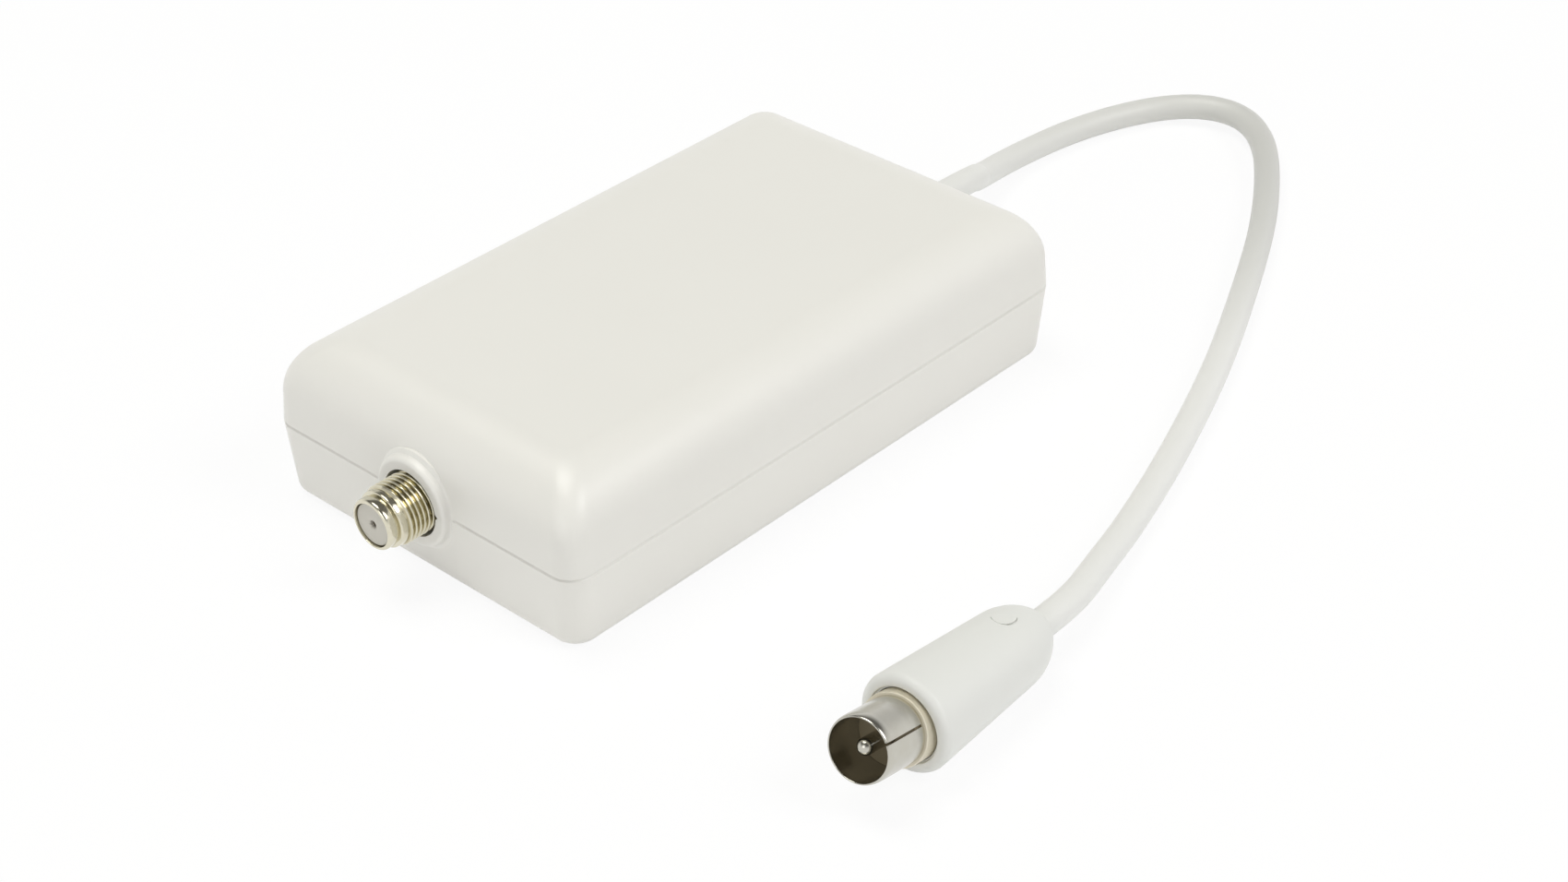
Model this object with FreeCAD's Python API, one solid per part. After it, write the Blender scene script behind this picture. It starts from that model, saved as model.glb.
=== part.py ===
import FreeCAD, Part
import math
import os

# Antenna amplifier in an off-white two-shell case. A threaded coaxial socket
# stands in the left end wall, and a short coaxial lead leaves the right end
# wall, turns round on the table and ends in a moulded aerial plug.
# Millimetres, +Z up. The origin is the centre of the case's underside, +X runs
# from the socket's end to the lead's end, and -Y is the side with the plug.

# Sides of a round feature that repeats or stays hidden
few_sides = 12

# Case, outside
case_length = 105.5
case_width = 62.0
case_height = 25.8
split_height = 12.4
base_draft = 0.7
side_draft = 0.25
corner_radius = 3.9
crown_radius = 8.9
crown_corner_radius = 1.5
crown_steps = 6
base_edge_radius = 2.0
seam_chamfer = 0.25

# Case, inside
wall = 2.0
floor_thickness = 2.0
roof_thickness = 2.0
tongue_thickness = 0.9
tongue_height = 1.5
tongue_gap = 0.1
rib_thickness = 1.2
rib_width = 4.0
roof_rib_height = 2.0

# Case screws and the columns that they pass through
column_from_end = 9.25
column_from_side = 9.0
column_radius = 4.3
boss_radius = 3.6
boss_hole_depth = 9.0
screw_head_radius = 2.8
screw_head_height = 1.8
screw_shank_radius = 1.35
screw_length = 14.0
screw_clearance = 0.35
thread_gap = 0.1
counterbore_depth = 3.2

# Aerial socket
thread_radius = 4.7
thread_length = 5.4
neck_relief = 0.25
shoulder_radius = 4.4
shoulder_length = 1.1
nose_radius = 3.93
nose_rim_radius = 3.5
nose_length = 1.8
socket_bore = 3.35
rim_depth = 0.3
pin_hole_radius = 0.6
flange_width = 12.4
flange_thickness = 2.2
block_width = 11.0
block_length = 7.7
block_above_axis = 5.8
axis_above_board = 6.2
leg_width = 1.0
leg_spread = 4.6
leg_reach = 2.4
contact_radius = 0.9
contact_bore = 0.5
contact_slot = 0.3
contact_slot_length = 5.0
contact_length = 13.0
tail_width = 0.7
tail_reach = 0.6
tail_from_screen = 2.4
insulator_lip = 0.6
insulator_stop = 1.7
rear_hole_radius = 2.25
flange_chamfer = 1.0
leg_inset = 1.4
socket_fit = 0.1
collar_radius = 7.0
collar_height = 1.15
collar_rounding = 0.7
socket_wall_gap = 0.5

# Circuit board
board_thickness = 1.6
board_right = 34.0
board_side_gap = 2.5
board_front_gap = 3.85
board_edge_gap = 0.8
hole_gap = 0.15
standoff_radius = 2.9
standoff_left = -31.0
standoff_right = 28.0
standoff_from_edge = 3.5
board_screw_radius = 1.1
board_screw_head_radius = 2.2
board_screw_head_height = 1.5
board_screw_clearance = 0.2

# Screening can
screen_from_socket = 1.25
screen_right = 21.0
screen_width = 31.0
screen_height = 10.6
screen_sheet = 0.4
partition_x = -9.0
partition_slot = 3.0
partition_slot_height = 2.0
lid_skirt = 2.4
lid_fit = 0.05

# Small parts on the board
chip_length = 4.5
chip_width = 2.5
chip_height = 1.5
chip_places = [(-24.0, 0.0), (4.0, 0.0)]
capacitor_size = (2.0, 1.25, 0.9)
capacitor_places = [(-34.0, 0.0), (-16.0, 0.0), (-4.0, 0.0), (-24.0, 5.0), (4.0, 5.0),
                    (-17.0, 9.0), (12.0, 9.0), (-28.5, -5.0), (27.0, 0.0)]
resistor_size = (2.0, 1.25, 0.5)
resistor_places = [(-24.0, -5.0), (4.0, -5.0), (-18.0, -9.0), (12.0, -9.0), (-12.5, 5.0)]
choke_place = (28.0, -12.0)
choke_radius = 2.6
choke_winding_radius = 2.1
choke_height = 6.0
choke_flange = 1.0
reservoir_place = (28.0, 12.0)
reservoir_radius = 3.15
reservoir_height = 7.0

# Coaxial lead
lead_radius = 2.2
jacket_bore = 1.75
braid_radius = 1.65
braid_bore = 1.3
core_radius = 1.22
core_bore = 0.42
wire_radius = 0.35
wire_tip_radius = 0.3
lead_wall_gap = 0.15
jacket_end = 36.0
core_end = 17.0
wire_drop_x = 10.0
solder_radius = 2.6
solder_length = 0.6

# Clamp that holds the lead in the case
clamp_x = 42.0
clamp_length = 5.0
clamp_post_y = 7.5
clamp_post_radius = 2.7
clamp_bar_height = 2.4
clamp_crown_radius = 4.2
clamp_gap = 0.2
clamp_grip = 0.05
clamp_screw_length = 8.0

# Plug, as it lies on the table beside the case
plug_x = -40.35
plug_y = -78.25
plug_turn = 2.1
boot_radius = 7.3
boot_tail_radius = 5.9
boot_taper_length = 22.2
boot_shoulder_length = 6.9
boot_end_radius = 2.9
boot_rim_rounding = 1.2
boot_mouth_radius = 5.7
boot_dish_depth = 0.6
dimple_radius = 1.8
dimple_depth = 0.35
dimple_tilt = 10.0
dimple_turn = 40.0
dimple_from_front = 21.2

# Metal parts of the plug, which sit a little askew in the soft boot
metal_rise = 12.4
metal_turn = 4.8
sleeve_radius = 4.75
sleeve_bore = 4.3
sleeve_length = 10.5
sleeve_seat = 2.0
sleeve_neck_relief = 0.2
sleeve_slit = 0.5
sleeve_slit_length = 7.9
slit_angle = 147.5
ring_radius = 5.15
ring_lip_radius = 4.95
ring_front = 2.2
ring_back = 2.6
pin_radius = 1.2
pin_setback = 1.0
pin_tail = 6.0
insulator_front = 3.6
ferrule_radius = 3.4
ferrule_tail_radius = 2.3
ferrule_length = 3.6
ferrule_step = 1.8
plug_fit = 0.1
plug_jacket_start = 14.0
plug_core_gap = 0.6

# Route of the free lead, from the case's end wall to the back of the boot. The
# points are corners, which the lead rounds. The last two are worked out from
# the plug.
lead_rest = 2.25
lead_points = [
    (62.5, 0.0, 12.4),
    (74.5, 1.5, 10.5),
    (88.0, 6.0, 5.0),
    (100.0, 9.5, lead_rest),
    (112.5, 8.5, lead_rest),
    (124.5, 5.0, lead_rest),
    (131.0, -2.5, lead_rest),
    (132.5, -13.0, lead_rest),
    (127.5, -22.0, lead_rest),
    (117.5, -28.0, lead_rest),
    (101.0, -37.5, lead_rest),
    (80.5, -47.5, lead_rest),
    (58.0, -57.5, lead_rest),
    (37.0, -65.0, lead_rest),
    (20.5, -70.0, lead_rest),
    (7.5, -73.5, 3.2),
]
lead_last_run = 8.5

# Worked out from the sizes above
half_length = case_length / 2
half_width = case_width / 2
inner_x = half_length - wall
inner_y = half_width - wall
column_x = half_length - column_from_end
column_y = half_width - column_from_side
board_top = split_height - axis_above_board
board_bottom = board_top - board_thickness
board_width = 2 * (inner_y - board_side_gap)
standoff_y = board_width / 2 - standoff_from_edge
board_screw_depth = floor_thickness / 2
board_screw_length = board_top - board_screw_depth - board_screw_clearance
board_left = -half_length + wall + board_front_gap
flange_back = -inner_x + flange_thickness
block_back = flange_back + block_length
insulator_back = block_back - insulator_stop
screen_left = block_back + screen_from_socket
tail_x = screen_left + tail_from_screen
nose_front = -half_length - thread_length - shoulder_length - nose_length
boot_lean = math.degrees(math.atan((boot_radius - boot_tail_radius) / boot_taper_length))
plug_z = boot_radius * math.cos(math.radians(boot_lean))
boot_length = boot_taper_length + boot_shoulder_length

X = FreeCAD.Vector(1, 0, 0)
Y = FreeCAD.Vector(0, 1, 0)
Z = FreeCAD.Vector(0, 0, 1)


def vec(x, y, z):
    return FreeCAD.Vector(x, y, z)


def rod(radius, start, length, along):
    """Round bar from a point, along a direction."""
    return Part.makeCylinder(radius, length, start, along)


def block(x0, x1, y0, y1, z0, z1):
    return Part.makeBox(x1 - x0, y1 - y0, z1 - z0, vec(x0, y0, z0))


def many_sided(radius, point):
    """Face with few_sides corners, placed by a function of its two coordinates."""
    angles = [2 * math.pi * (i + 0.5) / few_sides for i in range(few_sides)]
    corners = [point(radius * math.cos(angle), radius * math.sin(angle)) for angle in angles]
    return Part.Face(Part.makePolygon(corners + corners[:1]))


def peg(radius, x, y, z0, z1):
    """Upright bar with few sides, for round features that repeat or stay hidden."""
    return many_sided(radius, lambda a, b: vec(x + a, y + b, z0)).extrude(vec(0, 0, z1 - z0))


def bar(radius, x0, x1):
    """The same, along the X axis."""
    return many_sided(radius, lambda a, b: vec(x0, a, b)).extrude(vec(x1 - x0, 0, 0))


def post(x, y, width, z0, z1):
    return block(x - width / 2, x + width / 2, y - width / 2, y + width / 2, z0, z1)


def turned(profile):
    """Solid of revolution about the X axis from a closed list of (x, radius)."""
    points = [vec(x, 0, r) for x, r in profile]
    return Part.Face(Part.makePolygon(points + points[:1])).revolve(vec(0, 0, 0), X, 360)


def on_socket_axis(shape):
    shape.translate(vec(0, 0, split_height))
    return shape


def outline(inset, radius, z):
    """Rounded rectangle, drawn in from the case's full plan."""
    a = half_length - inset
    b = half_width - inset
    h = radius * (1 - math.sqrt(0.5))
    edges = []
    corners = [(a, b, 1, 1), (-a, b, -1, 1), (-a, -b, -1, -1), (a, -b, 1, -1)]
    for i, (cx, cy, sx, sy) in enumerate(corners):
        along_y = vec(cx, cy - sy * radius, z)
        along_x = vec(cx - sx * radius, cy, z)
        middle = vec(cx - sx * h, cy - sy * h, z)
        first, last = (along_y, along_x) if i % 2 == 0 else (along_x, along_y)
        edges.append(Part.Arc(first, middle, last).toShape())
    ends = [edge.Vertexes[0].Point for edge in edges]
    tails = [edge.Vertexes[-1].Point for edge in edges]
    for i in range(4):
        edges.append(Part.makeLine(tails[i], ends[(i + 1) % 4]))
    return Part.Wire(Part.__sortEdges__(edges))


def prism(inset, radius, z0, z1):
    return Part.Face(outline(inset, radius, z0)).extrude(vec(0, 0, z1 - z0))


def stacked(outlines):
    return Part.makeLoft(outlines, True, True)


def crown_outlines(inset, radius, corner, end_corner, top, steps):
    """Outlines that round in to a flat top, with corners that tighten on the way."""
    sections = []
    for i in range(steps + 1):
        angle = math.radians(90 * i / steps)
        drawn_in = 1 - math.cos(angle)
        sections.append(outline(inset + radius * drawn_in, corner + (end_corner - corner) * drawn_in,
                                top - radius + radius * math.sin(angle)))
    return sections


def top_cover_body():
    """Skirt that leans in a little above the seam, under a rounded crown."""
    rim = outline(seam_chamfer, corner_radius - seam_chamfer, split_height)
    skirt = outline(0, corner_radius, split_height + seam_chamfer)
    crown = crown_outlines(side_draft, crown_radius, corner_radius, crown_corner_radius,
                           case_height, crown_steps)
    return stacked([rim, skirt] + crown)


def top_cover_hollow():
    """Space under the roof, with upright walls and the crown's curve in fewer steps."""
    corner = corner_radius - wall
    return stacked([outline(wall, corner, split_height - 1)]
                   + crown_outlines(wall, crown_radius - roof_thickness, corner, corner / 2,
                                    case_height - roof_thickness, crown_steps // 2))


def bottom_cover_body():
    """Tray with a rounded lower edge and walls that lean out to the seam."""
    sections = []
    steps = 3
    for i in range(steps + 1):
        angle = math.radians(90 * i / steps)
        drawn_in = base_edge_radius * (1 - math.sin(angle))
        sections.append(outline(base_draft + drawn_in, corner_radius - drawn_in,
                                base_edge_radius * (1 - math.cos(angle))))
    sections.append(outline(0, corner_radius, split_height - seam_chamfer))
    sections.append(outline(seam_chamfer, corner_radius - seam_chamfer, split_height))
    return stacked(sections)


def column_places():
    return [(sx * column_x, sy * column_y) for sx in (-1, 1) for sy in (-1, 1)]


def standoff_places():
    return [(x, sy * standoff_y) for x in (standoff_left, standoff_right) for sy in (-1, 1)]


def socket_collar():
    """Rounded ring that the end wall carries round the socket's hole."""
    face = -half_length - collar_height
    root = -half_length + wall / 2
    r = collar_rounding
    corner = []
    for i in range(4):
        angle = math.radians(30 * i)
        corner.append((face + r - r * math.cos(angle), collar_radius - r + r * math.sin(angle)))
    inner = thread_radius + socket_wall_gap
    return on_socket_axis(turned([(root, inner), (face, inner)] + corner + [(root, collar_radius)]))


def wall_holes():
    """Openings in the end walls, shared by both covers."""
    depth = wall + collar_height + 2
    socket = rod(thread_radius + socket_wall_gap, vec(-half_length - collar_height - 1, 0, split_height),
                 depth, X)
    lead = rod(lead_radius + lead_wall_gap, vec(inner_x - 1, 0, split_height), wall + 2, X)
    return socket.fuse(lead)


def half_space(above):
    z0 = split_height if above else 0
    z1 = case_height if above else split_height
    return block(-case_length, case_length, -case_width, case_width, z0, z1)


def flange_ribs(z0, z1):
    """Pair of ribs that trap the socket's flange against the end wall."""
    x0 = flange_back + socket_fit
    y0 = block_width / 2 + socket_fit
    y1 = y0 + rib_width
    return [block(x0, x0 + rib_thickness, y0, y1, z0, z1),
            block(x0, x0 + rib_thickness, -y1, -y0, z0, z1)]


def top_cover():
    shell = top_cover_body().cut(top_cover_hollow())
    roof = case_height - roof_thickness
    into_roof = roof + roof_thickness / 4
    rebate = wall - tongue_thickness - tongue_gap
    shell = shell.cut(prism(rebate, corner_radius - rebate, split_height - 1,
                            split_height + tongue_height + tongue_gap))
    additions = [socket_collar().common(half_space(True))]
    additions += [peg(boss_radius, x, y, split_height, into_roof) for x, y in column_places()]
    additions += flange_ribs(split_height + tongue_height, into_roof)
    for x in (-column_x / 3, column_x / 3):
        additions.append(block(x - rib_thickness / 2, x + rib_thickness / 2,
                               -inner_y + crown_radius / 2, inner_y - crown_radius / 2,
                               roof - roof_rib_height, into_roof))
    seat = flange_width / 2 + socket_fit
    cuts = [wall_holes(), block(-inner_x, flange_back + socket_fit, -seat, seat, split_height,
                                split_height + seat)]
    cuts += [peg(screw_shank_radius + thread_gap, x, y, split_height - 1, split_height + boss_hole_depth)
             for x, y in column_places()]
    return shell.fuse(additions).cut(cuts).removeSplitter()


def bottom_cover():
    corner = corner_radius - wall
    shell = bottom_cover_body().cut(prism(wall, corner, floor_thickness, split_height + 1))
    tongue_inset = wall - tongue_thickness
    tongue = prism(tongue_inset, corner_radius - tongue_inset, split_height - 1,
                   split_height + tongue_height)
    tongue = tongue.cut(prism(wall, corner, split_height - 2, split_height + tongue_height + 1))
    root = floor_thickness / 2
    additions = [tongue, socket_collar().common(half_space(False))]
    additions += [peg(column_radius, x, y, root, split_height) for x, y in column_places()]
    additions += [peg(standoff_radius, x, y, root, board_bottom) for x, y in standoff_places()]
    additions += [peg(clamp_post_radius, x, y, root, split_height + clamp_gap) for x, y in clamp_places()]
    additions.append(block(clamp_x - clamp_length / 2, clamp_x + clamp_length / 2,
                           -lead_radius - wall, lead_radius + wall, root, split_height))
    additions += flange_ribs(root, split_height)
    shell = shell.fuse(additions).cut(wall_holes())
    cuts = [rod(lead_radius + clamp_grip, vec(clamp_x - clamp_length, 0, split_height),
                2 * clamp_length, X)]
    for x, y in column_places():
        cuts.append(rod(screw_head_radius + screw_clearance, vec(x, y, -1), counterbore_depth + 1, Z))
        cuts.append(peg(screw_shank_radius + screw_clearance, x, y, 0, split_height + 1))
    hole = board_screw_radius + thread_gap
    cuts += [peg(hole, x, y, board_screw_depth, board_bottom + 1) for x, y in board_screw_places()]
    cuts += [peg(hole, x, y, floor_thickness, split_height + 1) for x, y in clamp_places()]
    return shell.cut(cuts).removeSplitter()


def case_screws():
    """Long screws that come up from the counterbores in the floor."""
    seat = counterbore_depth
    return Part.makeCompound([
        peg(screw_head_radius, x, y, seat - screw_head_height, seat).fuse(
            peg(screw_shank_radius, x, y, seat, seat + screw_length))
        for x, y in column_places()])


def board_screw_places():
    return [(standoff_left, -standoff_y), (standoff_right, standoff_y)]


def clamp_places():
    return [(clamp_x, -clamp_post_y), (clamp_x, clamp_post_y)]


def downward_screws(places, seat, length):
    """Small screws whose heads sit on a face and whose points go down."""
    return Part.makeCompound([
        peg(board_screw_head_radius, x, y, seat, seat + board_screw_head_height).fuse(
            peg(board_screw_radius, x, y, seat - length, seat))
        for x, y in places])


def socket_barrel():
    """Plated body: turned barrel and nose, square flange, block and four legs."""
    thread_end = -half_length - thread_length
    shoulder_end = thread_end - shoulder_length
    thread_start = -half_length - collar_height
    neck = thread_radius - neck_relief
    profile = [(flange_back - 1, socket_bore), (flange_back - 1, neck)]
    profile += [(thread_start, neck), (thread_start, thread_radius)]
    profile += [(thread_end + 0.3, thread_radius), (thread_end, shoulder_radius)]
    profile += [(shoulder_end, shoulder_radius - 0.1), (shoulder_end, nose_radius)]
    turn = nose_radius - nose_rim_radius
    for i in range(4):
        angle = math.radians(30 * i)
        profile.append((nose_front + 2 * turn * (1 - math.sin(angle)),
                        nose_rim_radius + turn * math.cos(angle)))
    profile.append((nose_front, socket_bore))
    barrel = on_socket_axis(turned(profile))
    half = flange_width / 2
    flange = block(-inner_x, flange_back, -half, half, split_height - half, split_height + half)
    edges = [e for e in flange.Edges if abs(e.tangentAt(e.FirstParameter).x) > 0.9]
    flange = flange.makeChamfer(flange_chamfer, edges)
    body = block(flange_back, block_back, -block_width / 2, block_width / 2,
                 board_top, split_height + block_above_axis)
    body = body.fuse([flange, barrel])
    cuts = [rod(socket_bore, vec(nose_front, 0, split_height), insulator_back - nose_front, X)]
    cuts.append(rod(rear_hole_radius, vec(flange_back, 0, split_height), block_length + 1, X))
    legs = [post(x, y, leg_width, board_top - leg_reach, board_top + 1) for x, y in leg_places()]
    return body.cut(cuts).fuse(legs).removeSplitter()


def leg_places():
    return [(x, sy * leg_spread) for x in (board_left + leg_inset, block_back - leg_inset) for sy in (-1, 1)]


def socket_insulator():
    """Pale plastic core with the small hole that the aerial lead's wire enters."""
    front = nose_front + rim_depth
    outer = socket_bore - socket_fit
    bore = contact_radius + socket_fit
    back = insulator_back - socket_fit
    contact_front = front + insulator_lip
    profile = [(front, pin_hole_radius + 0.3), (front, outer), (back, outer), (back, bore)]
    profile += [(contact_front, bore), (contact_front, pin_hole_radius), (front + 0.3, pin_hole_radius)]
    return on_socket_axis(turned(profile))


def socket_contact():
    """Springy tube inside the insulator and the tail that drops through the board."""
    front = nose_front + rim_depth + insulator_lip + socket_fit
    contact = bar(contact_radius, front, front + contact_length)
    contact = on_socket_axis(contact.cut(bar(contact_bore, front - 1, front + contact_length - 1)))
    slot = block(front, front + contact_slot_length, -contact_radius, contact_radius,
                 split_height - contact_slot / 2, split_height + contact_slot / 2)
    back = front + contact_length - 0.5
    half = tail_width / 2
    strip = block(back, tail_x + half, -half, half, split_height - half, split_height + half)
    foot = post(tail_x, 0, tail_width, board_bottom - tail_reach, split_height)
    return contact.cut(slot).fuse([strip, foot]).removeSplitter()


def circuit_board():
    """Notched board with holes for its screws, the socket's legs and its contact."""
    half = board_width / 2
    board = block(board_left, board_right, -half, half, board_bottom, board_top)
    for x, y in column_places():
        if x < 0:
            clear = column_radius + board_edge_gap
            inward = y - math.copysign(clear, y)
            y0, y1 = sorted((inward, math.copysign(half_width, y)))
            board = board.cut(block(board_left - 1, x + clear, y0, y1, board_bottom - 1, board_top + 1))
    below = board_bottom - 1
    above = board_top + 1
    holes = [peg(board_screw_radius + hole_gap, x, y, below, above) for x, y in board_screw_places()]
    holes += [post(x, y, leg_width + 2 * hole_gap, below, above) for x, y in leg_places()]
    holes.append(post(tail_x, 0, tail_width + 2 * hole_gap, below, above))
    return board.cut(holes)


def shield_frame():
    """Tinned sheet fence round both stages, with a wall between them."""
    half = screen_width / 2
    top = board_top + screen_height
    fence = block(screen_left, screen_right, -half, half, board_top, top)
    fence = fence.cut(block(screen_left + screen_sheet, screen_right - screen_sheet,
                            -half + screen_sheet, half - screen_sheet, board_top - 1, top + 1))
    partition = block(partition_x, partition_x + screen_sheet, -half + screen_sheet / 2,
                      half - screen_sheet / 2, board_top, top)
    slot = block(partition_x - 1, partition_x + 1, -partition_slot / 2, partition_slot / 2,
                 board_top - 1, board_top + partition_slot_height)
    fence = fence.fuse(partition.cut(slot))
    fence = fence.cut(rod(rear_hole_radius, vec(screen_left - screen_sheet, 0, split_height),
                          3 * screen_sheet, X))
    fence = fence.cut(rod(core_radius + hole_gap, vec(screen_right - 2 * screen_sheet, 0, split_height),
                          3 * screen_sheet, X))
    return fence.removeSplitter()


def shield_lid():
    """Shallow lid that snaps over the fence."""
    sheet = screen_sheet
    half = screen_width / 2 + lid_fit + sheet
    x0 = screen_left - lid_fit - sheet
    x1 = screen_right + lid_fit + sheet
    under = board_top + screen_height
    lid = block(x0, x1, -half, half, under - lid_skirt, under + sheet)
    return lid.cut(block(x0 + sheet, x1 - sheet, -half + sheet, half - sheet, under - lid_skirt - 1, under))


def amplifier_chips():
    """Low, flat transistors with three leads and a wide tab."""
    solids = []
    for x, y in chip_places:
        half = chip_width / 2
        body = block(x - chip_length / 2, x + chip_length / 2, y - half, y + half,
                     board_top, board_top + chip_height)
        leads = [block(x + shift - 0.25, x + shift + 0.25, y - half - 1.0, y, board_top, board_top + 0.4)
                 for shift in (-1.5, 0, 1.5)]
        leads.append(block(x - 0.85, x + 0.85, y, y + half + 0.6, board_top, board_top + 0.4))
        solids.append(body.fuse(leads).removeSplitter())
    return Part.makeCompound(solids)


def board_blocks(places, size):
    length, width, height = size
    return Part.makeCompound([block(x - length / 2, x + length / 2, y - width / 2, y + width / 2,
                                    board_top, board_top + height) for x, y in places])


def rf_choke():
    """Ferrite drum, wound between its two flanges."""
    x, y = choke_place
    top = board_top + choke_height
    winding = peg(choke_winding_radius, x, y, board_top, top)
    return winding.fuse([peg(choke_radius, x, y, board_top, board_top + choke_flange),
                         peg(choke_radius, x, y, top - choke_flange, top)])


def reservoir_capacitor():
    """Small aluminium can that stands on the board."""
    x, y = reservoir_place
    return peg(reservoir_radius, x, y, board_top, board_top + reservoir_height)


def cable_clamp():
    """Bar that presses the lead into its saddle."""
    x0 = clamp_x - clamp_length / 2
    reach = clamp_post_y + clamp_post_radius
    z0 = split_height + clamp_gap
    clamp = block(x0, x0 + clamp_length, -reach, reach, z0, z0 + clamp_bar_height)
    crown = rod(clamp_crown_radius, vec(x0, 0, split_height), clamp_length, X)
    clamp = clamp.fuse(crown.common(block(x0, x0 + clamp_length, -reach, reach, z0, case_height)))
    clamp = clamp.cut(rod(lead_radius + clamp_grip, vec(x0 - 1, 0, split_height), clamp_length + 2, X))
    holes = [peg(board_screw_radius + hole_gap, x, y, z0 - 1, z0 + clamp_bar_height + 1)
             for x, y in clamp_places()]
    return clamp.cut(holes).removeSplitter()


def lead_layer(outer, inner, start, end=half_length):
    return on_socket_axis(bar(outer, start, end).cut(bar(inner, start - 1, end + 1)))


def lead_braid():
    """Braid that runs on from the jacket and is soldered to the fence."""
    braid = lead_layer(braid_radius, braid_bore, screen_right)
    ring = lead_layer(solder_radius, braid_bore, screen_right, screen_right + solder_length)
    ring = ring.cut(block(screen_right - 1, screen_right + 2, -solder_radius, solder_radius,
                          board_top + screen_height - lid_skirt - 0.1, case_height))
    return braid.fuse(ring).removeSplitter()


def lead_wire():
    """Centre wire, bent down to its pad behind the output stage."""
    along = on_socket_axis(bar(wire_radius, wire_drop_x - wire_radius, half_length))
    return along.fuse(peg(wire_tip_radius, wire_drop_x, 0, board_top, split_height)).removeSplitter()


def rounded_path(points):
    """Wire of straight runs and tangent arcs, with its radii, from corner points."""
    edges = []
    radii = []
    at = points[0]
    for i in range(1, len(points) - 1):
        back = points[i - 1] - points[i]
        ahead = points[i + 1] - points[i]
        half_turn = (math.pi - back.getAngle(ahead)) / 2
        trim = 0.45 * min(back.Length, ahead.Length)
        radius = trim / math.tan(half_turn)
        radii.append(radius)
        back.normalize()
        ahead.normalize()
        first = points[i] + back * trim
        last = points[i] + ahead * trim
        inward = (back + ahead).normalize()
        middle = points[i] + inward * (radius / math.cos(half_turn) - radius)
        edges.append(Part.LineSegment(at, first).toShape())
        edges.append(Part.Arc(first, middle, last).toShape())
        at = last
    edges.append(Part.LineSegment(at, points[-1]).toShape())
    return Part.Wire(edges), radii


def in_boot_frame(shape):
    """Lay a shape that was made along +X into the boot, as it lies on the table."""
    shape.rotate(vec(0, 0, 0), Y, boot_lean)
    shape.rotate(vec(0, 0, 0), Z, plug_turn)
    shape.translate(vec(plug_x, plug_y, plug_z))
    return shape


def in_metal_frame(shape):
    """The same, with the metal parts' own rise and turn about the boot's mouth."""
    shape.rotate(vec(0, 0, 0), Y, boot_lean + metal_rise)
    shape.rotate(vec(0, 0, 0), Z, plug_turn + metal_turn)
    shape.translate(vec(plug_x, plug_y, plug_z))
    return shape


def boot_point(distance):
    return in_boot_frame(Part.Vertex(distance, 0, 0)).Point


def metal_point(distance):
    return in_metal_frame(Part.Vertex(distance, 0, 0)).Point


def lead_route():
    corners = [vec(half_length, 0, split_height)]
    corners += [vec(*p) for p in lead_points]
    return corners + [boot_point(boot_length + lead_last_run), boot_point(boot_length)]


def output_cable():
    """Free part of the lead, swept with few sides because its facets repeat so often."""
    path, radii = rounded_path(lead_route())
    section = many_sided(lead_radius, lambda a, b: vec(half_length, a, split_height + b))
    lead = path.makePipeShell([section.OuterWire], True, False)
    print("lead radii", [round(r, 1) for r in radii])
    print("lead length", round(path.Length, 1),
          "volume share", round(lead.Volume / (section.Area * path.Length), 4))
    return lead


def plug_sleeve():
    """Rolled outer contact, open at the front, with the slit that gives it its spring."""
    edge = 0.12
    front = -sleeve_length
    neck = sleeve_radius - sleeve_neck_relief
    profile = [(front, sleeve_bore + edge), (front, sleeve_radius - edge), (front + edge, sleeve_radius)]
    profile += [(-ring_front, sleeve_radius), (-ring_front, neck), (sleeve_seat, neck)]
    profile += [(sleeve_seat, sleeve_bore), (front + edge, sleeve_bore)]
    sleeve = turned(profile)
    slit = block(front - 1, front + sleeve_slit_length, 0, sleeve_radius + 1,
                 -sleeve_slit / 2, sleeve_slit / 2)
    slit.rotate(vec(0, 0, 0), X, slit_angle)
    return in_metal_frame(sleeve.cut(slit))


def plug_ring():
    """Plated ring that carries the sleeve and disappears into the boot."""
    bore = sleeve_radius - sleeve_neck_relief + plug_fit / 2
    profile = [(-ring_front, bore), (-ring_front, ring_lip_radius), (-ring_front / 2, ring_radius)]
    profile += [(ring_back, ring_radius), (ring_back, bore)]
    return in_metal_frame(turned(profile))


def plug_insulator():
    bore = pin_radius + plug_fit
    outer = sleeve_bore - plug_fit
    profile = [(-insulator_front, bore), (-insulator_front, outer), (ring_back, outer), (ring_back, bore)]
    return in_metal_frame(turned(profile))


def plug_pin():
    """Centre pin with a rounded tip and a solder cup at the back."""
    tip = -sleeve_length + pin_setback
    profile = [(tip, 0)]
    for i in range(1, 3):
        angle = math.radians(45 * i)
        profile.append((tip + pin_radius * (1 - math.cos(angle)), pin_radius * math.sin(angle)))
    profile += [(pin_tail, pin_radius), (pin_tail, 0)]
    return in_metal_frame(turned(profile))


def plug_ferrule():
    """Stepped tube behind the ring that the braid is crimped in."""
    end = ring_back + ferrule_length
    outside = bar(ferrule_tail_radius, ring_back, end).fuse(
        bar(ferrule_radius, ring_back, ring_back + ferrule_step))
    return in_metal_frame(outside.cut(bar(pin_radius + 4 * plug_fit, ring_back - 1, end + 1)))


def plug_core_rod(radius):
    """Straight rod from the back of the pin to the front of the held jacket."""
    start = metal_point(pin_tail + plug_core_gap)
    end = boot_point(plug_jacket_start - plug_core_gap)
    return rod(radius, start, start.distanceToPoint(end), end - start)


def plug_core():
    """Insulated wire between the pin and the jacket, inside the boot."""
    return plug_core_rod(core_radius)


def plug_jacket():
    """End of the lead's jacket, held in the moulding."""
    return in_boot_frame(bar(lead_radius, plug_jacket_start, boot_length))


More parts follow.
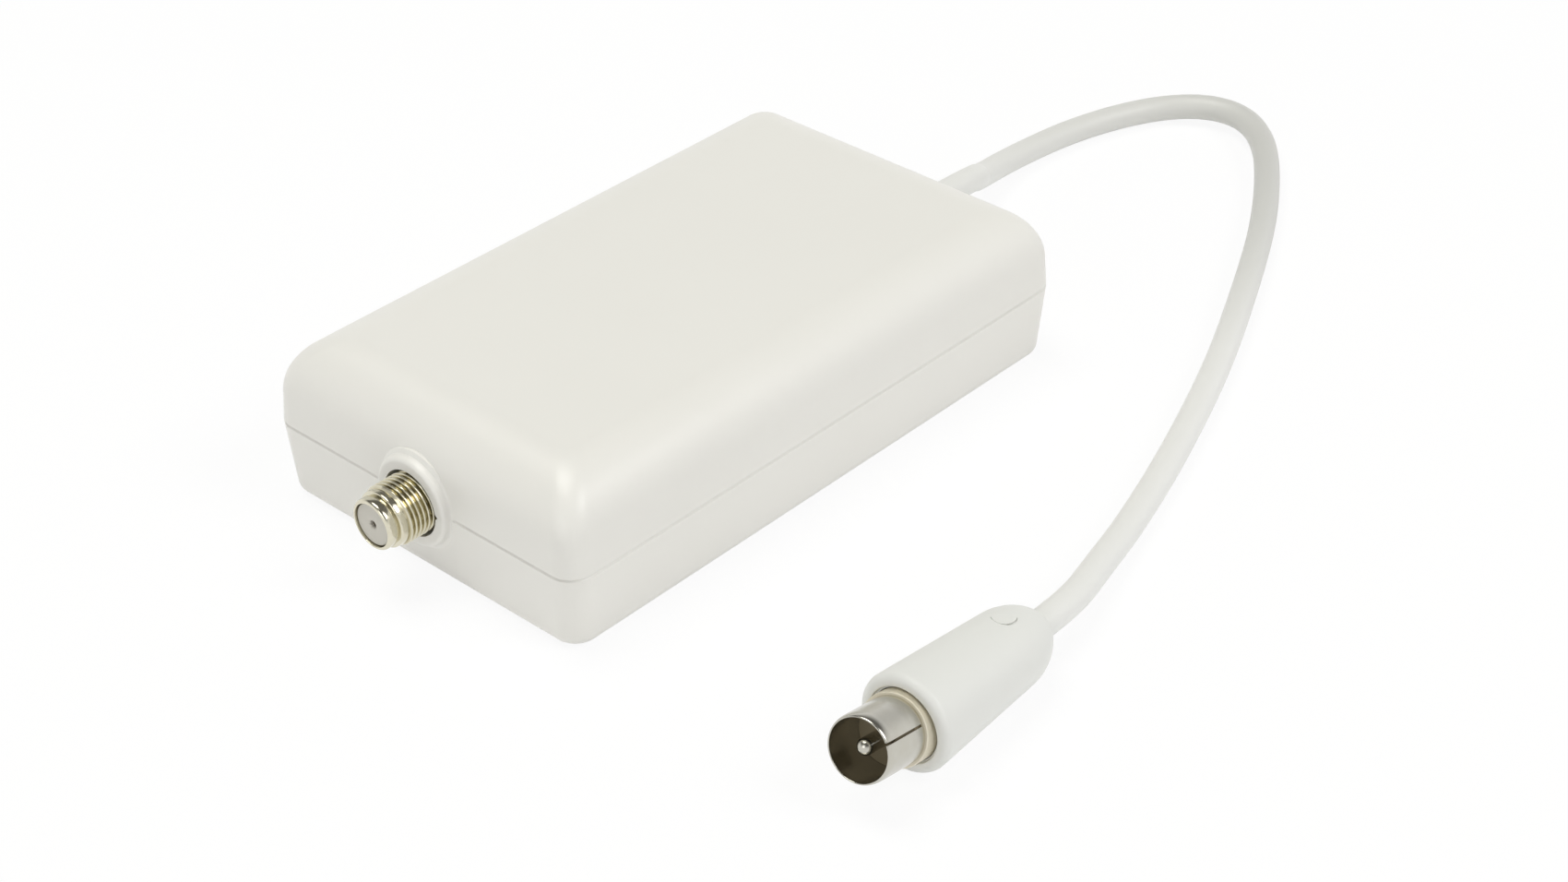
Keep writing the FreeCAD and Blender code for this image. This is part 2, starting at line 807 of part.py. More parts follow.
def boot_body():
    """Tapered moulding with a rounded rim and a shoulder that runs on from the taper."""
    lean = math.radians(boot_lean)
    r = boot_rim_rounding
    centre_x = r
    centre_r = boot_radius - r / math.cos(lean) - r * math.tan(lean)
    profile = [(0, 0)]
    steps = 2
    for i in range(steps + 1):
        angle = (math.pi / 2 - lean) * i / steps
        profile.append((centre_x - r * math.cos(angle), centre_r + r * math.sin(angle)))
    profile.append((boot_taper_length, boot_tail_radius))
    drop = boot_tail_radius - boot_end_radius
    slope = math.atan(drop / boot_shoulder_length)
    half_turn = slope - lean
    radius = math.hypot(drop, boot_shoulder_length) / 2 / math.sin(half_turn)
    steps = 3
    for i in range(1, steps + 1):
        angle = lean + 2 * half_turn * i / steps
        profile.append((boot_taper_length + radius * (math.sin(angle) - math.sin(lean)),
                        boot_tail_radius - radius * (math.cos(lean) - math.cos(angle))))
    profile.append((boot_length, 0))
    return turned(profile)


def boot_dimple():
    """Round dent on top, whose flat floor dips towards the lead and the near side."""
    dent = rod(dimple_radius, vec(0, 0, -dimple_depth), 2 * dimple_radius, Z)
    dent.rotate(vec(0, 0, 0), Y, dimple_tilt)
    dent.rotate(vec(0, 0, 0), Z, -dimple_turn)
    taper = (boot_radius - boot_tail_radius) / boot_taper_length
    dent.translate(vec(dimple_from_front, 0, boot_radius - taper * dimple_from_front))
    return dent


def plug_boot():
    """Moulded grip with a dished mouth, a dimple and the space for what it holds."""
    hollows = [in_boot_frame(boot_dimple()), plug_core_rod(core_radius + 2 * plug_fit)]
    hollows.append(in_boot_frame(rod(boot_mouth_radius, vec(0, 0, 0), boot_dish_depth, X)))
    hollows.append(in_metal_frame(rod(ring_radius + plug_fit, vec(-ring_front, 0, 0),
                                      ring_front + ring_back, X)))
    hollows.append(in_metal_frame(rod(ferrule_radius + plug_fit, vec(ring_back, 0, 0),
                                      ferrule_length + plug_core_gap, X)))
    hollows.append(in_boot_frame(rod(lead_radius + plug_fit, vec(plug_jacket_start - plug_core_gap, 0, 0),
                                     boot_length, X)))
    return in_boot_frame(boot_body()).cut(hollows)


def nodes():
    clamp_seat = split_height + clamp_gap + clamp_bar_height
    return {
        "bottom_cover": bottom_cover(),
        "top_cover": top_cover(),
        "case_screws": case_screws(),
        "socket_barrel": socket_barrel(),
        "socket_insulator": socket_insulator(),
        "socket_contact": socket_contact(),
        "circuit_board": circuit_board(),
        "board_screws": downward_screws(board_screw_places(), board_top, board_screw_length),
        "shield_frame": shield_frame(),
        "shield_lid": shield_lid(),
        "amplifier_chips": amplifier_chips(),
        "chip_capacitors": board_blocks(capacitor_places, capacitor_size),
        "chip_resistors": board_blocks(resistor_places, resistor_size),
        "rf_choke": rf_choke(),
        "reservoir_capacitor": reservoir_capacitor(),
        "cable_clamp": cable_clamp(),
        "clamp_screws": downward_screws(clamp_places(), clamp_seat, clamp_screw_length),
        "lead_jacket": lead_layer(lead_radius, jacket_bore, jacket_end),
        "lead_braid": lead_braid(),
        "lead_core": lead_layer(core_radius, core_bore, core_end),
        "lead_wire": lead_wire(),
        "output_cable": output_cable(),
        "plug_boot": plug_boot(),
        "plug_ring": plug_ring(),
        "plug_sleeve": plug_sleeve(),
        "plug_insulator": plug_insulator(),
        "plug_pin": plug_pin(),
        "plug_ferrule": plug_ferrule(),
        "plug_core": plug_core(),
        "plug_jacket": plug_jacket(),
    }


os.makedirs("parts", exist_ok=True)
for name, shape in nodes().items():
    shape.exportStep(os.path.join("parts", name + ".step"))
    box = shape.BoundBox
    print(name, len(shape.Solids), "solids, valid", shape.isValid(), "volume", round(shape.Volume, 2),
          "z", round(box.ZMin, 2), round(box.ZMax, 2))
print("plug axis, from its front to its back", metal_point(-sleeve_length / 2), metal_point(0))
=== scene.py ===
# %% [markdown]
# # An antenna amplifier and its lead
# The real object is a small off-white box of two moulded shells. A threaded
# socket stands in its left end, and a white lead leaves the right end, turns
# round on the table and ends in a moulded aerial plug.
# The imported CAD model is loaded first. It fixes every size and place, so that
# each piece made here only has to look right where the CAD puts it.

# %% Load the frame
import math

import bmesh
import bpy
from mathutils import Matrix, Vector


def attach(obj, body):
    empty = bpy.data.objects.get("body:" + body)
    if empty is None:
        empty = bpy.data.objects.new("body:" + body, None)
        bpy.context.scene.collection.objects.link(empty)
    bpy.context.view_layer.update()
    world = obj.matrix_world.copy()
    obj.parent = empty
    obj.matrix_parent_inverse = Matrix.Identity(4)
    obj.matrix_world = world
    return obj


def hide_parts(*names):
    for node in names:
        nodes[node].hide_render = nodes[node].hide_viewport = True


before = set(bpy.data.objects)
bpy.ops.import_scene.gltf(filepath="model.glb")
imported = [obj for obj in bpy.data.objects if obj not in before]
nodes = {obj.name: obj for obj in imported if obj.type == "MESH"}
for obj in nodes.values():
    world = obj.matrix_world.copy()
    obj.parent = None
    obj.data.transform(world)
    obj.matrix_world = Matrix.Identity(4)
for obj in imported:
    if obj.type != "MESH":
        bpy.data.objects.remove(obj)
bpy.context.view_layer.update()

MM = 0.001

# %% [markdown]
# ## The camera
# The photograph was taken from above the socket's end, with a fairly long lens,
# so that the box looks only slightly narrower at the back. The direction, the
# small roll and the distance were worked out once from edges of known length.
# A camera looks along its own -Z with +Y up, so its matrix is built from three
# directions: right, up and back.

# %% Place the camera
AZIMUTH, ELEVATION, ROLL = map(math.radians, (-47.652, 34.318, 0.477))
SHIFT_IN_VIEW = Vector((-15.863, -3.869, 440.717)) * MM

back = Vector((math.sin(AZIMUTH) * math.cos(ELEVATION), -math.cos(AZIMUTH) * math.cos(ELEVATION),
               math.sin(ELEVATION)))
level_right = (-back).cross(Vector((0, 0, 1))).normalized()
level_down = (-back).cross(level_right)
right = math.cos(ROLL) * level_right + math.sin(ROLL) * level_down
down = math.cos(ROLL) * level_down - math.sin(ROLL) * level_right


def new_object(name, data):
    """Object with this data, linked to the scene."""
    made = bpy.data.objects.new(name, data)
    bpy.context.scene.collection.objects.link(made)
    return made


camera = new_object("camera", bpy.data.cameras.new("camera"))
camera.data.sensor_width = 36.0
camera.data.lens = 66.12
camera.data.clip_start = 0.01
turn = Matrix((right, -down, back)).transposed()
place = -(right * SHIFT_IN_VIEW.x + down * SHIFT_IN_VIEW.y - back * SHIFT_IN_VIEW.z)
camera.matrix_world = Matrix.Translation(place) @ turn.to_4x4()
bpy.context.scene.camera = camera
print("camera at, mm:", [round(v / MM, 1) for v in place])

# %% [markdown]
# ## The lead
# The lead is thin coaxial cable in a soft white jacket, 4.4 mm across. It comes
# straight out of the end wall, sinks to the table, turns back beside the box and
# runs to the plug. At the bend it lifts off the table by a millimetre. All of it
# shows, so its length is the one in the picture.
# A NURBS curve suits a cable: it is drawn by a few control points and never
# kinks between them. The order is set after the points, because a spline with
# too few points for its order is drawn as straight runs.

# %% Draw the lead as one smooth curve
LEAD_RADIUS = 2.2 * MM
LEAD_ROUTE = [
    (0.05275, 0.0, 0.0124), (0.0625, 0.0, 0.0124), (0.0745, 0.0015, 0.0105),
    (0.07925, 0.00725, 0.005), (0.095, 0.01025, 0.00225), (0.111, 0.00825, 0.00225),
    (0.12475, 0.00325, 0.00225), (0.1314, -0.00425, 0.003), (0.1322, -0.0125, 0.00325),
    (0.12725, -0.02025, 0.00275), (0.1165, -0.02825, 0.00225), (0.1015, -0.03725, 0.00225),
    (0.07925, -0.048, 0.00225), (0.06075, -0.05625, 0.00225), (0.03825, -0.0645, 0.00225),
    (0.0205, -0.07, 0.00225), (0.0075, -0.0735, 0.0032), (-0.00285, -0.076875, 0.004918),
    (-0.011327, -0.077186, 0.005453),
]


def free_lead():
    """Curve through typed points, with a round bevel of the lead's radius."""
    curve = bpy.data.curves.new("lead", "CURVE")
    curve.dimensions = "3D"
    curve.bevel_depth = LEAD_RADIUS
    curve.bevel_resolution = 7
    curve.resolution_u = 14
    curve.use_fill_caps = True
    line = curve.splines.new("NURBS")
    line.points.add(len(LEAD_ROUTE) - 1)
    for point, where in zip(line.points, LEAD_ROUTE):
        point.co = (*where, 1.0)
    line.order_u = 3
    line.use_endpoint_u = True
    print("lead: one spline of", len(LEAD_ROUTE), "points")
    return new_object("lead", curve)


lead = free_lead()

# %% [markdown]
# ## The table and the light
# The product stands on a white sweep, under large soft lamps. The floor is a
# plain white surface. Where the camera or a shiny part looks at it, most of
# what they see is an even white of strength 1, so the background stays white
# and the box's shadow is still there, but faint.
# The lamps are wide and stand well off, which gives the rounded edges their
# long soft highlight. Overhead the room is darker than the sweep, so the plated
# parts have something dark to mirror and don't look like plaster.

# %% Floor, world and lamps
FLOOR_WHITE = (0.95, 0.95, 0.95, 1.0)
SHOWN_WHITE = 0.9
SKY_LOW, SKY_OVERHEAD = (0.95, 0.95, 0.95, 1.0), (0.15, 0.147, 0.138, 1.0)


def wire(tree, source, target):
    """Link a socket to an input, or give the input a plain value."""
    if isinstance(source, bpy.types.NodeSocket):
        tree.links.new(source, target)
    else:
        target.default_value = source


def maths(tree, operation, first, second):
    """A Math node whose inputs are sockets or numbers. Gives its output."""
    node = tree.nodes.new("ShaderNodeMath")
    node.operation = operation
    wire(tree, first, node.inputs[0])
    wire(tree, second, node.inputs[1])
    return node.outputs[0]


def blend(tree, how, share, first, second):
    """A Mix node for colours, each a socket or a plain colour. Gives its result."""
    node = tree.nodes.new("ShaderNodeMix")
    node.data_type = "RGBA"
    node.blend_type = how
    for label, value in (("Factor", share), ("A", first), ("B", second)):
        wire(tree, value, node.inputs[label])
    return node.outputs["Result"]


def seen_directly(tree):
    """1 where a camera, glossy or transmission ray looks, and 0 for light that only bounces."""
    paths = tree.nodes.new("ShaderNodeLightPath")
    mirrored = maths(tree, "MAXIMUM", paths.outputs["Is Glossy Ray"],
                     paths.outputs["Is Transmission Ray"])
    return maths(tree, "MAXIMUM", paths.outputs["Is Camera Ray"], mirrored)


def white_floor():
    """Large plane, lit as white paper is, and shown to the camera as an even white."""
    sweep = bpy.data.materials.new("white_sweep")
    sweep.use_nodes = True
    tree = sweep.node_tree
    tree.nodes.clear()
    lit = tree.nodes.new("ShaderNodeBsdfDiffuse")
    lit.inputs["Color"].default_value = FLOOR_WHITE
    even = tree.nodes.new("ShaderNodeEmission")
    both = tree.nodes.new("ShaderNodeMixShader")
    wire(tree, maths(tree, "MULTIPLY", seen_directly(tree), SHOWN_WHITE), both.inputs["Fac"])
    wire(tree, lit.outputs[0], both.inputs[1])
    wire(tree, even.outputs[0], both.inputs[2])
    wire(tree, both.outputs[0], tree.nodes.new("ShaderNodeOutputMaterial").inputs["Surface"])
    side = 2.5
    mesh = bpy.data.meshes.new("floor")
    mesh.from_pydata([(-side, -side, 0), (side, -side, 0), (side, side, 0), (-side, side, 0)], [],
                     [(0, 1, 2, 3)])
    mesh.transform(Matrix.Translation((0, 0, -0.1 * MM)))
    mesh.materials.append(sweep)
    new_object("floor", mesh)


def studio_world():
    """White wherever the camera looks, and white up to a lamp's height in what shines.

    Higher up, shiny parts mirror a darker room. The light that only bounces
    comes from the same sky, a little weaker than it looks.
    """
    world = bpy.data.worlds.new("studio")
    bpy.context.scene.world = world
    world.use_nodes = True
    tree = world.node_tree
    tree.nodes.clear()
    where = tree.nodes.new("ShaderNodeTexCoord")
    split = tree.nodes.new("ShaderNodeSeparateXYZ")
    wire(tree, where.outputs["Generated"], split.inputs[0])
    low = tree.nodes.new("ShaderNodeMapRange")
    for label, value in (("From Min", 0.12), ("From Max", 0.6), ("To Min", 1.0), ("To Max", 0.0)):
        low.inputs[label].default_value = value
    wire(tree, split.outputs["Z"], low.inputs["Value"])
    paths = tree.nodes.new("ShaderNodeLightPath")
    mirrored = maths(tree, "MULTIPLY", seen_directly(tree), low.outputs[0])
    white = maths(tree, "MAXIMUM", paths.outputs["Is Camera Ray"], mirrored)
    sky = blend(tree, "MIX", low.outputs[0], SKY_OVERHEAD, SKY_LOW)
    background = tree.nodes.new("ShaderNodeBackground")
    wire(tree, blend(tree, "MIX", white, sky, (1, 1, 1, 1)), background.inputs["Color"])
    wire(tree, background.outputs[0], tree.nodes.new("ShaderNodeOutputWorld").inputs["Surface"])


def soft_lamp(name, at, size, watts, colour=(1, 1, 1)):
    """Square area lamp that faces the middle of the box."""
    light = bpy.data.lights.new(name, "AREA")
    light.shape = "SQUARE"
    light.size = size
    light.energy = watts
    light.color = colour
    lamp = new_object(name, light)
    lamp.location = at
    lamp.rotation_mode = "QUATERNION"
    lamp.rotation_quaternion = (Vector((0.02, -0.03, 0)) - Vector(at)).to_track_quat("-Z", "Y")


white_floor()
studio_world()
soft_lamp("key_lamp", (0.35, -0.85, 0.95), 0.55, 6.0)
soft_lamp("top_lamp", (-0.1, 0.25, 1.1), 0.6, 6.8, (1.0, 1.0, 0.94))
soft_lamp("fill_lamp", (-0.9, -0.2, 0.5), 0.5, 1.3)
bpy.context.scene.view_settings.view_transform = "Standard"
print("lamps in watts:", {lamp.name: round(lamp.energy, 1) for lamp in bpy.data.lights})

# %% [markdown]
# ## Effects that several finishes share
# Moulded plastic is never one flat colour: the mould's fine spark grain breaks
# up the shine, and the tone drifts a little over a few centimetres. Plated metal
# has fine turning marks and a slightly uneven shine.
# Each effect is a node group that gives only a colour, a value or a height. The
# shader itself stays in each material, with that material's own values.

# %% Group for moulded surfaces
def new_group(name, inputs, outputs):
    """Shader group with named inputs and outputs, and its two end nodes."""
    tree = bpy.data.node_groups.new(name, "ShaderNodeTree")
    for label, kind, value in inputs:
        socket = tree.interface.new_socket(label, in_out="INPUT", socket_type=kind)
        if value is not None:
            socket.default_value = value
    for label, kind in outputs:
        tree.interface.new_socket(label, in_out="OUTPUT", socket_type=kind)
    return tree, tree.nodes.new("NodeGroupInput"), tree.nodes.new("NodeGroupOutput")


def noise(tree, coordinates, scale, detail=2.0, rough=0.5):
    """A Noise Texture whose scale is a number or a socket. Gives its value."""
    node = tree.nodes.new("ShaderNodeTexNoise")
    for label, value in (("Detail", detail), ("Roughness", rough), ("Scale", scale),
                         ("Vector", coordinates)):
        wire(tree, value, node.inputs[label])
    return node.outputs["Fac"]


WHAT_A_SURFACE_GIVES = [("Colour", "NodeSocketColor"), ("Shine", "NodeSocketFloat"),
                        ("Height", "NodeSocketFloat")]


def moulded_surface_group():
    """Tone that drifts, fine grain as height, and a shine that varies a little."""
    tree, given, made = new_group(
        "moulded_surface",
        [("Place", "NodeSocketVector", None), ("Colour", "NodeSocketColor", (0.8, 0.8, 0.8, 1)),
         ("Drift", "NodeSocketFloat", 0.04), ("Grain per metre", "NodeSocketFloat", 3000.0)],
        WHAT_A_SURFACE_GIVES)
    place = given.outputs["Place"]
    cloud = noise(tree, place, 28.0, 3.0)
    drift = maths(tree, "MULTIPLY", cloud, given.outputs["Drift"])
    darker = blend(tree, "MULTIPLY", drift, given.outputs["Colour"], (0.55, 0.53, 0.47, 1))
    grain = noise(tree, place, given.outputs["Grain per metre"], 2.0, 0.6)
    smear = noise(tree, place, 90.0, 2.0)
    wire(tree, darker, made.inputs["Colour"])
    shine = maths(tree, "ADD", maths(tree, "MULTIPLY", smear, 0.12), -0.06)
    wire(tree, shine, made.inputs["Shine"])
    wire(tree, grain, made.inputs["Height"])
    return tree


# %% Group for turned and plated metal
def turned_metal_group():
    """Marks run round the part's axis, which is X once the place has been turned."""
    tree, given, made = new_group(
        "turned_metal",
        [("Place", "NodeSocketVector", None), ("Colour", "NodeSocketColor", (0.7, 0.7, 0.7, 1)),
         ("Tarnish", "NodeSocketFloat", 0.25)],
        WHAT_A_SURFACE_GIVES)
    stretch = tree.nodes.new("ShaderNodeVectorMath")
    stretch.operation = "MULTIPLY"
    stretch.inputs[1].default_value = (9000.0, 500.0, 500.0)
    wire(tree, given.outputs["Place"], stretch.inputs[0])
    marks = noise(tree, stretch.outputs[0], 1.0, 2.0)
    patch = noise(tree, given.outputs["Place"], 420.0, 3.0, 0.6)
    tarnish = maths(tree, "MULTIPLY", patch, given.outputs["Tarnish"])
    duller = blend(tree, "MULTIPLY", tarnish, given.outputs["Colour"], (0.6, 0.52, 0.36, 1))
    wire(tree, duller, made.inputs["Colour"])
    shine = maths(tree, "ADD", maths(tree, "MULTIPLY", patch, 0.2),
                  maths(tree, "MULTIPLY", marks, 0.06))
    wire(tree, shine, made.inputs["Shine"])
    wire(tree, marks, made.inputs["Height"])
    return tree


moulded_surface = moulded_surface_group()
turned_metal = turned_metal_group()
print("shared effects:", moulded_surface.name, turned_metal.name)

# %% [markdown]
# ## The finishes
# A finish is one Principled shader fed by a shared effect. The plastic of the
# box is a warm off-white with a satin shine. The lead and the boot are a whiter,
# softer vinyl. The plated parts are a warm, slightly yellow silver.
# A Mapping node turns the pattern for the plug, whose metal lies askew.

# %% Build a finish from an effect
def finish(name, effect, colour, roughness, metallic=0.0, bump=0.15, depth=0.02, askew=None,
           **values):
    """Principled shader fed by an effect. The bump's depth is in millimetres."""
    made = bpy.data.materials.new(name)
    made.use_nodes = True
    tree = made.node_tree
    shader = tree.nodes["Principled BSDF"]
    where = tree.nodes.new("ShaderNodeTexCoord")
    place = where.outputs["Object"]
    if askew is not None:
        mapping = tree.nodes.new("ShaderNodeMapping")
        mapping.vector_type = "TEXTURE"
        mapping.inputs["Rotation"].default_value = askew
        wire(tree, place, mapping.inputs["Vector"])
        place = mapping.outputs["Vector"]
    group = tree.nodes.new("ShaderNodeGroup")
    group.node_tree = effect
    wire(tree, place, group.inputs["Place"])
    group.inputs["Colour"].default_value = (*colour, 1)
    for label, value in values.items():
        group.inputs[label.replace("_", " ")].default_value = value
    wire(tree, group.outputs["Colour"], shader.inputs["Base Color"])
    wire(tree, maths(tree, "ADD", group.outputs["Shine"], roughness), shader.inputs["Roughness"])
    shader.inputs["Metallic"].default_value = metallic
    relief = tree.nodes.new("ShaderNodeBump")
    relief.inputs["Strength"].default_value = bump
    relief.inputs["Distance"].default_value = depth * MM
    wire(tree, group.outputs["Height"], relief.inputs["Height"])
    wire(tree, relief.outputs["Normal"], shader.inputs["Normal"])
    return made


# %% [markdown]
# Two of the finishes aren't the same all over. The plate is darker down in the
# thread, which is painted shade, and the lead is darker round its bend. Either way the
# colour is multiplied by a tint where a mask says so: one mask is an attribute that the
# mesh carries, and the other is the distance from a place.

# %% Tint a finish in places
def multiply_colour(made, mask, tint):
    """Put a Multiply step, driven by a mask, in front of a finish's colour."""
    tree = made.node_tree
    colour = tree.nodes["Principled BSDF"].inputs["Base Color"]
    wire(tree, blend(tree, "MULTIPLY", mask, colour.links[0].from_socket, (*tint, 1)), colour)


def painted_shade_where(made, mark, tint):
    """Paint shade into a finish, as far as the mesh's own attribute says."""
    share = made.node_tree.nodes.new("ShaderNodeAttribute")
    share.attribute_name = mark
    multiply_colour(made, share.outputs["Fac"], tint)


def tinted_near(made, where, reach, tint):
    """Tint a finish near a place, and fade the tint out between two distances."""
    tree = made.node_tree
    away = tree.nodes.new("ShaderNodeVectorMath")
    away.operation = "DISTANCE"
    wire(tree, tree.nodes.new("ShaderNodeTexCoord").outputs["Object"], away.inputs[0])
    away.inputs[1].default_value = where
    near = tree.nodes.new("ShaderNodeMapRange")
    near.interpolation_type = "SMOOTHSTEP"
    for label, value in zip(("From Min", "From Max", "To Min", "To Max"), (*reach, 1.0, 0.0)):
        near.inputs[label].default_value = value
    wire(tree, away.outputs["Value"], near.inputs["Value"])
    multiply_colour(made, near.outputs[0], tint)


# %% [markdown]
# The socket and the outer contact are bright, and the ring behind the contact is
# duller, so that it shows as one soft pale band. The plug's metal leans out of
# its grip by 12.4 degrees and turns aside by 4.8.

# %% The finishes that show
GRIP_RADIUS, TAIL_RADIUS, TAPER_LENGTH = 7.3, 5.9, 22.2
GRIP_LEAN = math.degrees(math.atan((GRIP_RADIUS - TAIL_RADIUS) / TAPER_LENGTH))
GRIP_ASIDE = 2.1
METAL_LEAN, METAL_ASIDE = GRIP_LEAN + 12.4, GRIP_ASIDE + 4.8
METAL_TURN = (0.0, math.radians(METAL_LEAN), math.radians(METAL_ASIDE))

case_plastic = finish("case_plastic", moulded_surface, (0.79, 0.78, 0.745), 0.36, Drift=0.06)
lead_vinyl = finish("lead_vinyl", moulded_surface, (0.785, 0.785, 0.765), 0.42, Drift=0.05,
                    Grain_per_metre=1800.0)
# The lead is darker round its bend, fading out with distance from that place.
tinted_near(lead_vinyl, (0.125, -0.032, 0.002), (0.005, 0.075), (0.76, 0.76, 0.75))
boot_vinyl = finish("boot_vinyl", moulded_surface, (0.745, 0.75, 0.726), 0.45, Drift=0.05,
                    Grain_per_metre=2200.0)
socket_plate = finish("socket_plate", turned_metal, (0.74, 0.71, 0.58), 0.03, 1.0, 0.1, 0.01)
# Painted shade: the plate is darkened down in the thread's grooves.
painted_shade_where(socket_plate, "groove", (0.5, 0.45, 0.28))
plug_plate = finish("plug_plate", turned_metal, (0.58, 0.57, 0.52), 0.08, 1.0, 0.1, 0.01,
                    METAL_TURN)
ring_plate = finish("ring_plate", turned_metal, (0.78, 0.74, 0.63), 0.5, 1.0, 0.1, 0.01,
                    METAL_TURN)
zinc_plate = finish("zinc_plate", turned_metal, (0.66, 0.67, 0.68), 0.22, 1.0, 0.1, 0.01)
socket_filling = finish("socket_filling", moulded_surface, (0.565, 0.545, 0.49), 0.4, Drift=0.1)
plug_filling = finish("plug_filling", moulded_surface, (0.26, 0.215, 0.135), 0.5)

# %% [markdown]
# The pieces inside the case can be seen once it is opened in another tool, so
# each has the finish of its own stuff as well.

# %% The finishes inside
contact_bronze = finish("contact_bronze", turned_metal, (0.78, 0.62, 0.36), 0.2, 1.0)
board_mask = finish("board_mask", moulded_surface, (0.03, 0.16, 0.06), 0.3, Drift=0.3)
tinned_sheet = finish("tinned_sheet", turned_metal, (0.72, 0.73, 0.73), 0.3, 1.0)
chip_epoxy = finish("chip_epoxy", moulded_surface, (0.02, 0.02, 0.02), 0.55)
capacitor_ceramic = finish("capacitor_ceramic", moulded_surface, (0.5, 0.36, 0.22), 0.5, Drift=0.3)
choke_ferrite = finish("choke_ferrite", moulded_surface, (0.05, 0.05, 0.05), 0.6, Drift=0.3)
drawn_can = finish("drawn_can", turned_metal, (0.70, 0.71, 0.72), 0.25, 1.0)
clamp_nylon = finish("clamp_nylon", moulded_surface, (0.025, 0.025, 0.025), 0.5)
foamed_core = finish("foamed_core", moulded_surface, (0.88, 0.88, 0.86), 0.5)
drawn_copper = finish("drawn_copper", turned_metal, (0.75, 0.38, 0.2), 0.2, 1.0)
print("finishes:", len([m for m in bpy.data.materials if m.use_nodes]))

# %% [markdown]
# ## Tools for making a piece
# A few small tools make nearly everything here. `loft` joins outlines that have
# the same number of points into one closed skin. `turned` spins a profile round
# the X axis, as a lathe would. `carve` cuts or adds another solid with an exact
# Boolean. `settle` turns what the modifiers make into a plain mesh. Sizes are in
# millimetres until a mesh is made an object, which is in metres.

# %% Mesh tools
def to_object(name, mesh):
    """The bmesh, in millimetres, as an object in metres with its normals outward."""
    bmesh.ops.remove_doubles(mesh, verts=mesh.verts, dist=0.0005)
    bmesh.ops.recalc_face_normals(mesh, faces=mesh.faces)
    data = bpy.data.meshes.new(name)
    mesh.to_mesh(data)
    mesh.free()
    data.transform(Matrix.Scale(MM, 4))
    return new_object(name, data)


def settle(piece):
    """Swap a piece's mesh for what its modifiers make of it, and drop them."""
    graph = bpy.context.evaluated_depsgraph_get()
    made = bpy.data.meshes.new_from_object(piece.evaluated_get(graph))
    old = piece.data
    piece.modifiers.clear()
    piece.data = made
    bpy.data.meshes.remove(old)
    made.name = piece.name
    return piece


def carve(piece, tool, operation="DIFFERENCE"):
    """Boolean with a tool that isn't needed afterwards."""
    step = piece.modifiers.new("carve", "BOOLEAN")
    step.operation = operation
    step.solver = "EXACT"
    step.object = tool
    settle(piece)
    bpy.data.objects.remove(tool)
    return piece


def skin(mesh, rings, closed):
    """Join rings of points with quads. Unless the last meets the first, both ends are capped."""
    rows = [[mesh.verts.new(point) for point in ring] for ring in rings]
    pairs = list(zip(rows, rows[1:])) + ([(rows[-1], rows[0])] if closed else [])
    count = len(rows[0])
    for low, high in pairs:
        for i in range(count):
            j = (i + 1) % count
            mesh.faces.new((low[i], low[j], high[j], high[i]))
    if not closed:
        mesh.faces.new(rows[0][::-1])
        mesh.faces.new(rows[-1])


# %% Solids from rings, profiles and corners
def loft(name, rings):
    mesh = bmesh.new()
    skin(mesh, rings, False)
    return to_object(name, mesh)


def turned(name, profile, segments=96, closed=True):
    """Spin (x, radius) pairs round the X axis. An open profile ends in caps.

    In a closed profile, a radius of a thousandth of a millimetre stands for the axis.
    """
    mesh = bmesh.new()
    angles = [2 * math.pi * i / segments for i in range(segments)]
    rings = [[(x, r * math.cos(a), r * math.sin(a)) for a in angles] for x, r in profile]
    skin(mesh, rings, closed)
    return to_object(name, mesh)


def box(name, low, high, bevel=0.0):
    """Block between two corners, with its edges broken by a small bevel if asked."""
    mesh = bmesh.new()
    bmesh.ops.create_cube(mesh, size=1.0)
    size = [h - l for l, h in zip(low, high)]
    middle = [(h + l) / 2 for l, h in zip(low, high)]
    bmesh.ops.scale(mesh, vec=size, verts=mesh.verts)
    bmesh.ops.translate(mesh, vec=middle, verts=mesh.verts)
    if bevel:
        bmesh.ops.bevel(mesh, geom=mesh.edges[:], offset=bevel, segments=2, profile=0.5,
                        affect="EDGES")
    return to_object(name, mesh)


# %% Place, shade and declare a piece
def moved(piece, matrix):
    """Apply a placement, in millimetres, to the mesh itself."""
    matrix = matrix.copy()
    matrix.translation *= MM
    piece.data.transform(matrix)
    return piece


def smoothed(piece, angle=30):
    """Smooth shading with crisp edges. Large flat faces keep their own direction."""
    for face in piece.data.polygons:
        face.use_smooth = True
    piece.data.set_sharp_from_angle(angle=math.radians(angle))
    weigh = piece.modifiers.new("weigh", "WEIGHTED_NORMAL")
    weigh.keep_sharp = True
    return settle(piece)


def arc(x, r, radius, first, last, steps):
    """Points of a rounding in a profile, by the angle from +X towards +radius, in degrees."""
    angles = [math.radians(first + (last - first) * i / steps) for i in range(steps + 1)]
    return [(x + radius * math.cos(a), r + radius * math.sin(a)) for a in angles]


def dress(piece, material, slot, *stands_for):
    """Give a piece its finish, its body and the CAD nodes that it stands for."""
    piece.data.materials.clear()
    piece.data.materials.append(material)
    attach(piece, "root")
    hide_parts(*stands_for)
    kind = "curve" if piece.type == "CURVE" else str(len(piece.data.polygons)) + " faces"
    print(piece.name, "stands for", ", ".join(stands_for), "-", kind)
    return piece


